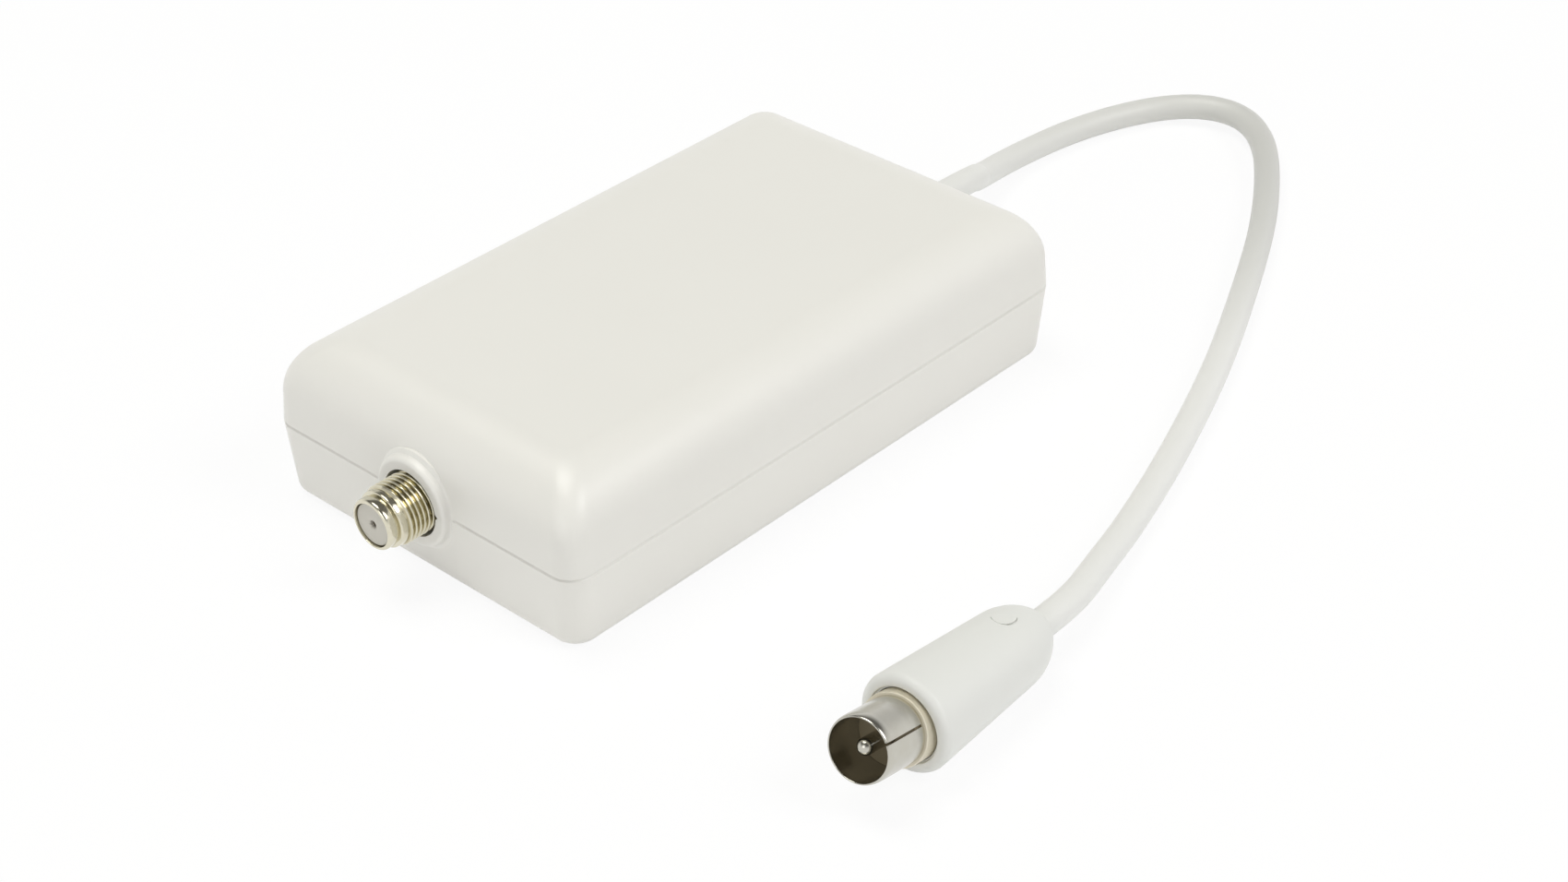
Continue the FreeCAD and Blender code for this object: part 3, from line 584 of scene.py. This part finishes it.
# %% [markdown]
# ## The two shells
# A housing like this is moulded in two halves that meet in a lapped seam: a thin
# tongue on the lower shell stands behind the edge of the upper one, and a small
# chamfer on both lips hides any mismatch as a fine line. The upper shell's edge
# rounds over in a wide quarter circle, while its corners, seen from above, stay
# much tighter and get tighter still towards the flat top.
# A loft of rounded rectangles says exactly that: each ring has an inset, a
# corner radius and a height. The rings run up the outside, and the inner wall is
# more of the same rings, so each shell is one closed skin.

# %% Outline of the case at one height
HALF_LENGTH, HALF_WIDTH = 52.75, 31.0
SEAM, TOP = 12.4, 25.8
WALL, CROWN = 2.0, 8.9
SPRING = TOP - CROWN
CORNER, TOP_CORNER = 3.9, 1.5
SEAM_CHAMFER, SIDE_DRAFT, BASE_DRAFT, BASE_EDGE = 0.25, 0.25, 0.7, 2.0
TONGUE_TOP, TONGUE_INSET = 13.9, 1.1
REBATE_TOP, REBATE_INSET = 14.0, 1.0
FLAT_INSET = 0.8  # one more ring on each flat, so that the roundings shade cleanly


def case_ring(inset, corner, height, steps=12):
    """Rounded rectangle, drawn in from the case's full plan, as points in order."""
    points = []
    for quarter, (sx, sy) in enumerate([(1, 1), (-1, 1), (-1, -1), (1, -1)]):
        for i in range(steps + 1):
            angle = math.radians(90 * (quarter + i / steps))
            points.append((sx * (HALF_LENGTH - inset - corner) + corner * math.cos(angle),
                           sy * (HALF_WIDTH - inset - corner) + corner * math.sin(angle), height))
    return points


def crown_rings(inset, radius, corner, top_corner, steps):
    """Rings of a rounded edge that starts upright at the spring line and ends flat."""
    rings = []
    for i in range(steps + 1):
        angle = math.radians(90 * i / steps)
        rings.append(case_ring(inset + radius * (1 - math.cos(angle)),
                               top_corner + (corner - top_corner) * math.cos(angle),
                               SPRING + radius * math.sin(angle)))
    return rings


# %% Skins of the two shells
def upper_skin():
    """From the middle of the ceiling down the inner wall and the rebate, and up the outside."""
    inner = crown_rings(WALL, CROWN - WALL, CORNER - WALL, (CORNER - WALL) / 2, 8)[::-1]
    inner += [case_ring(WALL, CORNER - WALL, REBATE_TOP),
              case_ring(REBATE_INSET, CORNER - REBATE_INSET, REBATE_TOP),
              case_ring(REBATE_INSET, CORNER - REBATE_INSET, SEAM)]
    outer = [case_ring(SEAM_CHAMFER, CORNER - SEAM_CHAMFER, SEAM),
             case_ring(0, CORNER, SEAM + SEAM_CHAMFER)]
    outer += crown_rings(SIDE_DRAFT, CROWN, CORNER, TOP_CORNER, 28)
    outer.append(case_ring(SIDE_DRAFT + CROWN + FLAT_INSET, TOP_CORNER - FLAT_INSET, TOP))
    return loft("upper_shell", inner + outer)


def lower_skin():
    """From the middle of the underside up the outside, over the tongue and down the inner wall."""
    outer = [case_ring(BASE_DRAFT + BASE_EDGE + FLAT_INSET, CORNER - BASE_EDGE - FLAT_INSET, 0.0)]
    for i in range(9):
        angle = math.radians(90 * i / 8)
        drawn_in = BASE_EDGE * (1 - math.sin(angle))
        outer.append(case_ring(BASE_DRAFT + drawn_in, CORNER - drawn_in,
                               BASE_EDGE * (1 - math.cos(angle))))
    outer += [case_ring(0, CORNER, SEAM - SEAM_CHAMFER),
              case_ring(SEAM_CHAMFER, CORNER - SEAM_CHAMFER, SEAM)]
    tongue = [case_ring(TONGUE_INSET, CORNER - TONGUE_INSET, height)
              for height in (SEAM, TONGUE_TOP)]
    inner = [case_ring(WALL, CORNER - WALL, height) for height in (TONGUE_TOP, WALL)]
    return loft("lower_shell", outer + tongue + inner)


upper_shell = upper_skin()
lower_shell = lower_skin()
print("shells:", len(upper_shell.data.polygons), "and", len(lower_shell.data.polygons), "faces")

# %% [markdown]
# ## The collar round the socket
# The end wall carries a low rounded ring round the socket's hole, split by the
# seam like the wall. Its foot runs into the wall in a small fillet, as a mould
# would leave it. One ring is turned, cut into an upper and a lower half, and
# each half is added to its own shell.
# The holes are cut last, through wall and ring at once: a wide one that leaves a
# dark gap round the socket, and a close one for the lead. The collar's corners at
# the seam are taken off, and show as two small dark notches.

# %% Half a collar, and a round bar to cut with
SOCKET_HOLE, COLLAR_RADIUS, COLLAR_FACE, COLLAR_ROUNDING = 5.2, 7.0, -53.9, 0.7


def collar_half(upper):
    """Ring with a rounded face and a fillet at its foot, cut at the seam."""
    root = -HALF_LENGTH + 1.2
    profile = [(root, 4.6), (COLLAR_FACE, 4.6)]
    profile += arc(COLLAR_FACE + COLLAR_ROUNDING, COLLAR_RADIUS - COLLAR_ROUNDING, COLLAR_ROUNDING,
                   180, 90, 8)
    foot = -HALF_LENGTH + 0.1
    profile += [(foot - 0.55, COLLAR_RADIUS), (foot - 0.3, COLLAR_RADIUS + 0.06),
                (foot - 0.1, COLLAR_RADIUS + 0.2), (foot, COLLAR_RADIUS + 0.42),
                (foot + 0.25, COLLAR_RADIUS + 0.8), (root, COLLAR_RADIUS + 0.8)]
    ring = moved(turned("collar", profile, 96), Matrix.Translation((0, 0, SEAM)))
    z0, z1 = (SEAM, SEAM + 12) if upper else (SEAM - 12, SEAM)
    return carve(ring, box("half", (-60, -12, z0), (-50, 12, z1)), "INTERSECT")


def rod(name, radius, start, end, segments=64):
    """Round bar between two points, in millimetres."""
    a, b = Vector(start), Vector(end)
    bar = turned(name, [(0, radius), ((b - a).length, radius)], segments, closed=False)
    return moved(bar, Matrix.Translation(a) @ (b - a).to_track_quat("X", "Z").to_matrix().to_4x4())


# %% Add the collar and cut the holes
LEAD_HOLE, NOTCH = 2.35, 0.45

for shell, upper in ((upper_shell, True), (lower_shell, False)):
    carve(shell, collar_half(upper), "UNION")
    carve(shell, rod("hole", SOCKET_HOLE, (-56, 0, SEAM), (-49.5, 0, SEAM), 96))
    carve(shell, rod("hole", LEAD_HOLE, (49.5, 0, SEAM), (54, 0, SEAM)))
    for y in (-SOCKET_HOLE, SOCKET_HOLE):
        carve(shell, rod("corner", NOTCH, (-55, y, SEAM), (-53, y, SEAM), 4))
print("shells with collar and holes:", len(upper_shell.data.polygons), "and",
      len(lower_shell.data.polygons), "faces")

# %% [markdown]
# Four columns in the lower shell meet four bosses in the upper one. A screw comes
# up through each column from a counterbore, and bites in the boss's pilot hole.

# %% Columns, bosses and their holes
COLUMNS = [(sx * 43.5, sy * 22.0) for sx in (-1, 1) for sy in (-1, 1)]
COLUMN_RADIUS, BOSS_RADIUS, BOSS_TOP = 4.3, 3.6, 24.3
COUNTERBORE, COUNTERBORE_DEPTH, CLEARANCE, PILOT, PILOT_TOP = 3.15, 3.2, 1.7, 1.45, 21.4

for x, y in COLUMNS:
    carve(lower_shell, rod("column", COLUMN_RADIUS, (x, y, 1.0), (x, y, SEAM)), "UNION")
    carve(lower_shell, rod("counterbore", COUNTERBORE, (x, y, -1), (x, y, COUNTERBORE_DEPTH)))
    carve(lower_shell, rod("clearance", CLEARANCE, (x, y, 3), (x, y, SEAM + 1), 32))
    carve(upper_shell, rod("boss", BOSS_RADIUS, (x, y, SEAM), (x, y, BOSS_TOP)), "UNION")
    carve(upper_shell, rod("pilot", PILOT, (x, y, SEAM - 1), (x, y, PILOT_TOP), 32))

for shell, node in ((upper_shell, "top_cover"), (lower_shell, "bottom_cover")):
    smoothed(shell)
    dress(shell, case_plastic, "case_plastic", node)

# %% [markdown]
# ## The case screws
# Four self-tapping screws close the case from below, sunk in counterbores. They
# are identical, so one screw is modelled and Geometry Nodes set a copy on each
# point of a mesh that holds only the four places. The cross recess is cut with
# two tapered blades.

# %% One screw
def one_screw():
    """Pan head with a cross recess, a plain shank and a pointed end, standing on its head."""
    profile = [(0, 0.001)] + [(0.0, 1.9)] + arc(0.5, 2.3, 0.5, 180, 90, 6)
    profile += [(1.8, 2.8), (1.8, 1.35), (13.8, 1.35), (15.8, 0.25), (15.8, 0.001)]
    screw = turned("screw", profile, 40)
    for turn_by in (0, 90):
        mesh = bmesh.new()
        top = [(-0.4, -1.7, -0.32), (-0.4, 1.7, -0.32), (-0.4, 1.7, 0.32), (-0.4, -1.7, 0.32)]
        low = [(1.2, -0.6, -0.2), (1.2, 0.6, -0.2), (1.2, 0.6, 0.2), (1.2, -0.6, 0.2)]
        skin(mesh, [top, low], False)
        blade = to_object("blade", mesh)
        carve(screw, moved(blade, Matrix.Rotation(math.radians(turn_by), 4, "X")))
    return moved(smoothed(screw, 35), Matrix.Rotation(math.radians(-90), 4, "Y"))


# %% Set it on its four places
def geometry_tree(name, inputs):
    """New Geometry Nodes tree with the identifier of each named input."""
    tree = bpy.data.node_groups.new(name, "GeometryNodeTree")
    sockets = {}
    for label, kind in [("Geometry", "NodeSocketGeometry")] + inputs:
        socket = tree.interface.new_socket(label, in_out="INPUT", socket_type=kind)
        sockets[label] = socket.identifier
    tree.interface.new_socket("Geometry", in_out="OUTPUT", socket_type="NodeSocketGeometry")
    return tree, tree.nodes.new("NodeGroupInput"), tree.nodes.new("NodeGroupOutput"), sockets


def finish_tree(tree, geometry, material, made):
    """Realize Instances, then Set Material, as the tree's last two nodes."""
    real = tree.nodes.new("GeometryNodeRealizeInstances")
    wire(tree, geometry, real.inputs["Geometry"])
    paint = tree.nodes.new("GeometryNodeSetMaterial")
    wire(tree, real.outputs["Geometry"], paint.inputs["Geometry"])
    wire(tree, material, paint.inputs["Material"])
    wire(tree, paint.outputs["Geometry"], made.inputs["Geometry"])


def case_screws():
    """Four points in the counterbores, and a tree that sets the one screw on each."""
    tree, given, made, sockets = geometry_tree(
        "set_on_places", [("Pattern", "NodeSocketObject"), ("Finish", "NodeSocketMaterial")])
    info = tree.nodes.new("GeometryNodeObjectInfo")
    wire(tree, given.outputs["Pattern"], info.inputs["Object"])
    copies = tree.nodes.new("GeometryNodeInstanceOnPoints")
    wire(tree, given.outputs["Geometry"], copies.inputs["Points"])
    wire(tree, info.outputs["Geometry"], copies.inputs["Instance"])
    finish_tree(tree, copies.outputs["Instances"], given.outputs["Finish"], made)
    places = bpy.data.meshes.new("cover_screws")
    places.from_pydata([(x * MM, y * MM, 1.4 * MM) for x, y in COLUMNS], [], [])
    piece = new_object("cover_screws", places)
    pattern = one_screw()
    step = piece.modifiers.new("places", "NODES")
    step.node_group = tree
    step[sockets["Pattern"]] = pattern
    step[sockets["Finish"]] = zinc_plate
    settle(piece)
    bpy.data.objects.remove(pattern)
    return piece


dress(case_screws(), zinc_plate, "zinc_steel", "case_screws")

# %% [markdown]
# ## The threaded socket
# The socket is a plated turning: a threaded barrel, a plain shoulder, a thin
# groove and a nose with a rounded rim. Behind the wall it has a square flange,
# a block and four solder legs.
# The thread is the form that follows a rule, so Geometry Nodes cut it. The barrel
# is first turned plain, with many fine rings where the thread will be. The tree
# then moves each point inwards by a depth that depends on how far it is along the
# axis and round it, which makes one true right-hand helix of the pitch asked for.
# It also stores how deep each point went. The plate's finish reads that number
# to paint shade into the grooves, darker the deeper they go.

# %% Tree that cuts a helical thread
def thread_tree():
    """Push the outer points in along a helix, and note how deep each one went."""
    sizes = ["Pitch", "Depth", "Start", "End", "Run-out", "Core radius"]
    tree, given, made, sockets = geometry_tree(
        "cut_thread",
        [(label, "NodeSocketFloat") for label in sizes] + [("Finish", "NodeSocketMaterial")])
    pitch, depth, start, end, run_out, core_radius = (given.outputs[label] for label in sizes)
    position = tree.nodes.new("GeometryNodeInputPosition")
    split = tree.nodes.new("ShaderNodeSeparateXYZ")
    wire(tree, position.outputs[0], split.inputs[0])
    x, y, z = (split.outputs[i] for i in range(3))
    angle = maths(tree, "ARCTAN2", z, y)
    phase = maths(tree, "SUBTRACT", maths(tree, "DIVIDE", x, pitch),
                  maths(tree, "DIVIDE", angle, 2 * math.pi))
    slope = maths(tree, "PINGPONG", phase, 0.5)
    groove = tree.nodes.new("ShaderNodeMapRange")
    groove.interpolation_type = "SMOOTHSTEP"
    for label, value in (("From Min", 0.07), ("From Max", 0.42), ("Value", slope)):
        wire(tree, value, groove.inputs[label])
    lead_in = maths(tree, "DIVIDE", maths(tree, "SUBTRACT", x, start), run_out)
    lead_out = maths(tree, "DIVIDE", maths(tree, "SUBTRACT", end, x), run_out)
    fade = maths(tree, "MINIMUM", maths(tree, "MINIMUM", lead_in, lead_out), 1.0)
    fade = maths(tree, "MAXIMUM", fade, 0.0)
    cut = maths(tree, "MULTIPLY", maths(tree, "MULTIPLY", groove.outputs[0], depth), fade)
    radius = maths(tree, "SQRT", maths(tree, "ADD", maths(tree, "MULTIPLY", y, y),
                                       maths(tree, "MULTIPLY", z, z)), 0.0)
    cut = maths(tree, "MULTIPLY", cut, maths(tree, "GREATER_THAN", radius, core_radius))
    inward = maths(tree, "DIVIDE", cut, maths(tree, "MAXIMUM", radius, 1e-6))
    offset = tree.nodes.new("ShaderNodeCombineXYZ")
    for axis, along in ((1, y), (2, z)):
        outward = maths(tree, "MULTIPLY", along, inward)
        wire(tree, maths(tree, "MULTIPLY", outward, -1.0), offset.inputs[axis])
    # How deep each point went, kept for the painted shade in the grooves.
    mark = tree.nodes.new("GeometryNodeStoreNamedAttribute")
    mark.data_type = "FLOAT"
    mark.domain = "POINT"
    mark.inputs["Name"].default_value = "groove"
    wire(tree, given.outputs["Geometry"], mark.inputs["Geometry"])
    wire(tree, maths(tree, "DIVIDE", cut, depth), mark.inputs["Value"])
    move = tree.nodes.new("GeometryNodeSetPosition")
    wire(tree, mark.outputs["Geometry"], move.inputs["Geometry"])
    wire(tree, offset.outputs[0], move.inputs["Offset"])
    finish_tree(tree, move.outputs["Geometry"], given.outputs["Finish"], made)
    return tree, sockets


# %% Profile of the barrel
PITCH, THREAD_RADIUS, THREAD_DEPTH = 0.794, 4.7, 0.42
THREAD_FROM, THREAD_TO, NOSE_FRONT = -58.15, -51.4, -61.05
THREAD_CHAMFER, RINGS_PER_TURN, BARREL_BACK = 0.28, 14, -49.5
BORE = 3.35


def barrel_profile():
    """From the bore's mouth over the nose, the groove, the shoulder and the thread, and back."""
    mouth = [(NOSE_FRONT + 0.1, BORE), (NOSE_FRONT + 0.02, BORE + 0.03)]
    rim = [(NOSE_FRONT + 0.5 * (1 - math.cos(a)), 3.48 + 0.45 * math.sin(a))
           for a in (math.radians(90 * i / 8) for i in range(9))]
    groove = [(-59.65, 3.93), (-59.5, 3.86), (-59.42, 3.7), (-59.3, 3.7), (-59.25, 3.86)]
    shoulder = arc(-58.98, 4.12, 0.24, 180, 90, 5) + [(-58.5, 4.38), (-58.42, 4.3), (-58.36, 4.3)]
    start = THREAD_FROM + THREAD_CHAMFER
    thread = [(THREAD_FROM, 4.42), (start, THREAD_RADIUS)]
    rings = int((THREAD_TO - THREAD_FROM - THREAD_CHAMFER) / (PITCH / RINGS_PER_TURN))
    thread += [(start + i * PITCH / RINGS_PER_TURN, THREAD_RADIUS) for i in range(1, rings)]
    return (mouth + rim + groove + shoulder + thread
            + [(BARREL_BACK, THREAD_RADIUS), (BARREL_BACK, BORE)])


# %% Turn the barrel and cut its thread
def barrel():
    piece = turned("threaded_socket", barrel_profile(), 112)
    tree, sockets = thread_tree()
    step = piece.modifiers.new("thread", "NODES")
    step.node_group = tree
    for label, value in (("Pitch", PITCH * MM), ("Depth", THREAD_DEPTH * MM),
                         ("Start", (THREAD_FROM - 0.2) * MM), ("End", THREAD_TO * MM),
                         ("Run-out", 0.5 * MM), ("Core radius", 4.35 * MM),
                         ("Finish", socket_plate)):
        step[sockets[label]] = value
    return moved(settle(piece), Matrix.Translation((0, 0, SEAM)))


# %% The socket's body behind the wall
BOARD_TOP, FLANGE_BACK, BLOCK_BACK, INSULATOR_BACK = 6.2, -48.55, -40.85, -42.55


def socket_body():
    """Flange, block and legs, which sit behind the wall and on the board."""
    body = box("body", (FLANGE_BACK - 0.25, -5.5, BOARD_TOP), (BLOCK_BACK, 5.5, 18.2), 0.25)
    carve(body, box("flange", (-50.75, -6.2, BOARD_TOP), (FLANGE_BACK, 6.2, 18.6), 0.3), "UNION")
    for x in (-45.5, -42.25):
        for y in (-4.6, 4.6):
            leg = box("leg", (x - 0.5, y - 0.5, 3.8), (x + 0.5, y + 0.5, BOARD_TOP + 1), 0.1)
            carve(body, leg, "UNION")
    carve(body, rod("bore", BORE, (-52, 0, SEAM), (INSULATOR_BACK, 0, SEAM)))
    return carve(body, rod("rear_hole", 2.25, (-43, 0, SEAM), (-40, 0, SEAM)))


socket = carve(barrel(), socket_body(), "UNION")
dress(smoothed(socket, 40), socket_plate, "nickel_plate", "socket_barrel")
print("thread: pitch", PITCH, "mm, about", round((THREAD_TO - THREAD_FROM) / PITCH, 1), "turns")

# %% [markdown]
# The socket's mouth is filled by a pale insulator, set a third of a millimetre
# back, with the small hole that takes the aerial lead's wire. It is turned from
# the same sizes as the CAD piece, with a rounded edge and a small countersink.

# %% Insulator in the socket's mouth
def socket_core():
    front, outer, bore = -60.75, 3.25, 1.0
    profile = [(front + 0.25, 0.6)] + arc(front + 0.25, 0.85, 0.25, 270, 180, 4)
    profile += [(front, 1.6), (front, outer - 0.2)]
    profile += arc(front + 0.2, outer - 0.2, 0.2, 180, 90, 4)
    back = INSULATOR_BACK - 0.1
    profile += [(back, outer), (back, bore), (front + 0.6, bore), (front + 0.6, 0.6)]
    return moved(turned("socket_core", profile, 64), Matrix.Translation((0, 0, SEAM)))


dress(smoothed(socket_core(), 40), socket_filling, "pale_insulator", "socket_insulator")

# %% [markdown]
# ## The plug
# The aerial plug has a tapered vinyl grip moulded over a plated ring, a split
# outer contact and a centre pin. The metal sits a little askew in the soft grip.
# Each piece is turned round the X axis and then laid in place with one of two
# matrices: one for the grip as it lies on the table, and one for the metal.

# %% Frames of the grip and of its metal
PLUG_FRONT = Matrix.Translation((-40.35, -78.25, 7.2855))


def lying(lean, turn_by):
    return (PLUG_FRONT @ Matrix.Rotation(math.radians(turn_by), 4, "Z")
            @ Matrix.Rotation(math.radians(lean), 4, "Y"))


GRIP_FRAME = lying(GRIP_LEAN, GRIP_ASIDE)
METAL_FRAME = lying(METAL_LEAN, METAL_ASIDE)
print("grip leans", round(GRIP_LEAN, 1), "degrees, its metal", round(METAL_LEAN, 1))

# %% [markdown]
# The grip is one turned profile: a straight taper with a rounded rim, and a
# shoulder that runs on from the taper without a kink, as an arc that starts in
# the taper's own direction. On top, near the lead, is a shallow round dent with a
# fine groove along its lower edge. Both are cut with rods that lean a little.

# %% Profile of the grip
RIM, SHOULDER_LENGTH, TAIL_END_RADIUS = 1.2, 6.9, 2.9


def taper_radius(x):
    return GRIP_RADIUS - (GRIP_RADIUS - TAIL_RADIUS) * x / TAPER_LENGTH


def grip_profile():
    """From the bore for the lead, round the outside to the dished mouth."""
    lean = math.radians(GRIP_LEAN)
    drop = TAIL_RADIUS - TAIL_END_RADIUS
    half_turn = math.atan(drop / SHOULDER_LENGTH) - lean
    radius = math.hypot(drop, SHOULDER_LENGTH) / 2 / math.sin(half_turn)
    shoulder = []
    for i in range(17):
        angle = lean + 2 * half_turn * i / 16
        shoulder.append((TAPER_LENGTH + radius * (math.sin(angle) - math.sin(lean)),
                         TAIL_RADIUS - radius * (math.cos(lean) - math.cos(angle))))
    centre = GRIP_RADIUS - RIM / math.cos(lean) - RIM * math.tan(lean)
    rounding = arc(RIM, centre, RIM, 90 - GRIP_LEAN, 180, 10)
    taper = [(x, taper_radius(x)) for x in (RIM + (TAPER_LENGTH - RIM) * i / 12
                                            for i in range(11, 0, -1))]
    profile = [(13.4, 0.001), (13.4, 2.3), (28.9, 2.3), (29.1, 2.5)]
    profile += shoulder[::-1] + taper + rounding
    profile += [(0.0, 5.85)] + arc(0.15, 5.7, 0.15, 180, 270, 3)
    return profile + [(0.6, 5.5), (0.6, 0.001)]


# %% Turn the grip and cut its dent
DIMPLE_AT, DIMPLE_RADIUS, DIMPLE_TURN, DIMPLE_TILT = 21.3, 1.8, -140, 8
DIMPLE_DEPTH, GROOVE_DEPTH, GROOVE_FROM = 0.12, 0.38, 0.55
DIMPLE_FRAME = GRIP_FRAME @ (Matrix.Translation((DIMPLE_AT, 0, taper_radius(DIMPLE_AT)))
                             @ Matrix.Rotation(math.radians(DIMPLE_TURN), 4, "Z")
                             @ Matrix.Rotation(math.radians(DIMPLE_TILT), 4, "Y"))


def grip():
    piece = moved(turned("plug_grip", grip_profile(), 112), GRIP_FRAME)
    carve(piece, moved(turned("seat", [(-3, 5.25), (2.6, 5.25)], 96, False), METAL_FRAME))
    carve(piece, moved(turned("seat", [(2, 3.5), (6.8, 3.5)], 64, False), METAL_FRAME))
    dimple = rod("dimple", DIMPLE_RADIUS, (0, 0, -DIMPLE_DEPTH), (0, 0, 2 * DIMPLE_RADIUS))
    carve(piece, moved(dimple, DIMPLE_FRAME))
    groove = rod("groove", DIMPLE_RADIUS, (0, 0, -GROOVE_DEPTH), (0, 0, 0.6))
    carve(groove, rod("rest", DIMPLE_RADIUS, (-GROOVE_FROM, 0, -2), (-GROOVE_FROM, 0, 2)))
    carve(piece, moved(groove, DIMPLE_FRAME))
    return smoothed(piece, 35)


dress(grip(), boot_vinyl, "boot_pvc", "plug_boot")

# %% [markdown]
# Four more turned pieces stand in the grip. The outer contact is a thin tube that
# is drawn in at its open end and slit along one side, so that it springs. Round
# its root sits a wider ring, inside it the dark insulator, and the pin ends just
# behind the contact's mouth.

# %% The ring, the outer contact, the pin and the insulator
CONTACT_RADIUS, CONTACT_BORE, LIP_RADIUS, LIP_FRONT = 4.75, 4.3, 4.46, -10.62
RING_RADIUS, RING_FRONT, RING_BACK, PIN_RADIUS = 5.15, -2.2, 2.6, 1.2
SLIT_WIDTH, SLIT_ANGLE = 0.36, 147.5


def contact_ring():
    profile = [(RING_FRONT, 4.62), (RING_FRONT, 4.95)]
    profile += arc(RING_FRONT + 0.15, RING_RADIUS - 0.15, 0.15, 180, 90, 4)
    profile += [(RING_BACK, RING_RADIUS), (RING_BACK, 4.62)]
    return moved(turned("plug_collar", profile, 96), METAL_FRAME)


def outer_contact():
    """Tube whose open end is drawn in a little, with one spring slit."""
    profile = [(-10.1, CONTACT_BORE), (-10.4, 4.34)] + arc(-10.5, LIP_RADIUS, 0.12, 250, 180, 3)
    profile += [(LIP_FRONT + 1.3 * (1 - math.cos(a)), LIP_RADIUS + 0.29 * math.sin(a))
                for a in (math.radians(5 + 85 * i / 8) for i in range(9))]
    profile += [(RING_FRONT, CONTACT_RADIUS), (RING_FRONT, 4.55), (2.0, 4.55), (2.0, CONTACT_BORE)]
    piece = turned("plug_outer_contact", profile, 112)
    slit = box("slit", (-12, 0, -SLIT_WIDTH / 2), (-2.6, 6, SLIT_WIDTH / 2))
    carve(piece, moved(slit, Matrix.Rotation(math.radians(SLIT_ANGLE), 4, "X")))
    return moved(piece, METAL_FRAME)


def centre_pin():
    tip, back = -9.9, 6.0
    profile = [(tip, 0.001)] + arc(tip + PIN_RADIUS, 0.0, PIN_RADIUS, 175, 90, 10)
    profile += [(back, PIN_RADIUS), (back, 0.001)]
    return moved(turned("plug_centre_pin", profile, 48), METAL_FRAME)


def filler():
    """Dark insulator that fills the back of the outer contact, round the pin."""
    front, inner, outer = -3.6, PIN_RADIUS + 0.05, CONTACT_BORE - 0.01
    profile = [(front, inner), (front, outer), (RING_BACK, outer), (RING_BACK, inner)]
    return moved(turned("plug_filler", profile, 96), METAL_FRAME)


dress(smoothed(filler(), 35), plug_filling, "dark_insulator", "plug_insulator")
dress(smoothed(contact_ring(), 35), ring_plate, "nickel_plate", "plug_ring")
dress(smoothed(outer_contact(), 35), plug_plate, "nickel_plate", "plug_sleeve")
dress(smoothed(centre_pin(), 35), plug_plate, "nickel_plate", "plug_pin")

# %% [markdown]
# ## The lead's finish
# The lead gets the vinyl finish and stands in for the CAD's lead.

dress(lead, lead_vinyl, "lead_pvc", "output_cable")

# %% [markdown]
# ## The pieces carried over from the CAD model
# What is inside the case and the plug doesn't show, and its CAD shapes are right
# as they are. They keep their meshes and only get a proper finish each.

# %% Finish the CAD nodes that stay
INSIDE = {
    "socket_contact": contact_bronze, "circuit_board": board_mask, "board_screws": zinc_plate,
    "clamp_screws": zinc_plate, "shield_frame": tinned_sheet, "shield_lid": tinned_sheet,
    "lead_braid": tinned_sheet, "amplifier_chips": chip_epoxy, "chip_resistors": chip_epoxy,
    "chip_capacitors": capacitor_ceramic, "rf_choke": choke_ferrite,
    "reservoir_capacitor": drawn_can, "cable_clamp": clamp_nylon, "lead_jacket": lead_vinyl,
    "plug_jacket": lead_vinyl, "lead_core": foamed_core, "plug_core": foamed_core,
    "lead_wire": drawn_copper, "plug_ferrule": plug_plate,
}
for name, material in INSIDE.items():
    nodes[name].data.materials.clear()
    nodes[name].data.materials.append(material)
print("CAD nodes with a new finish:", len(INSIDE))
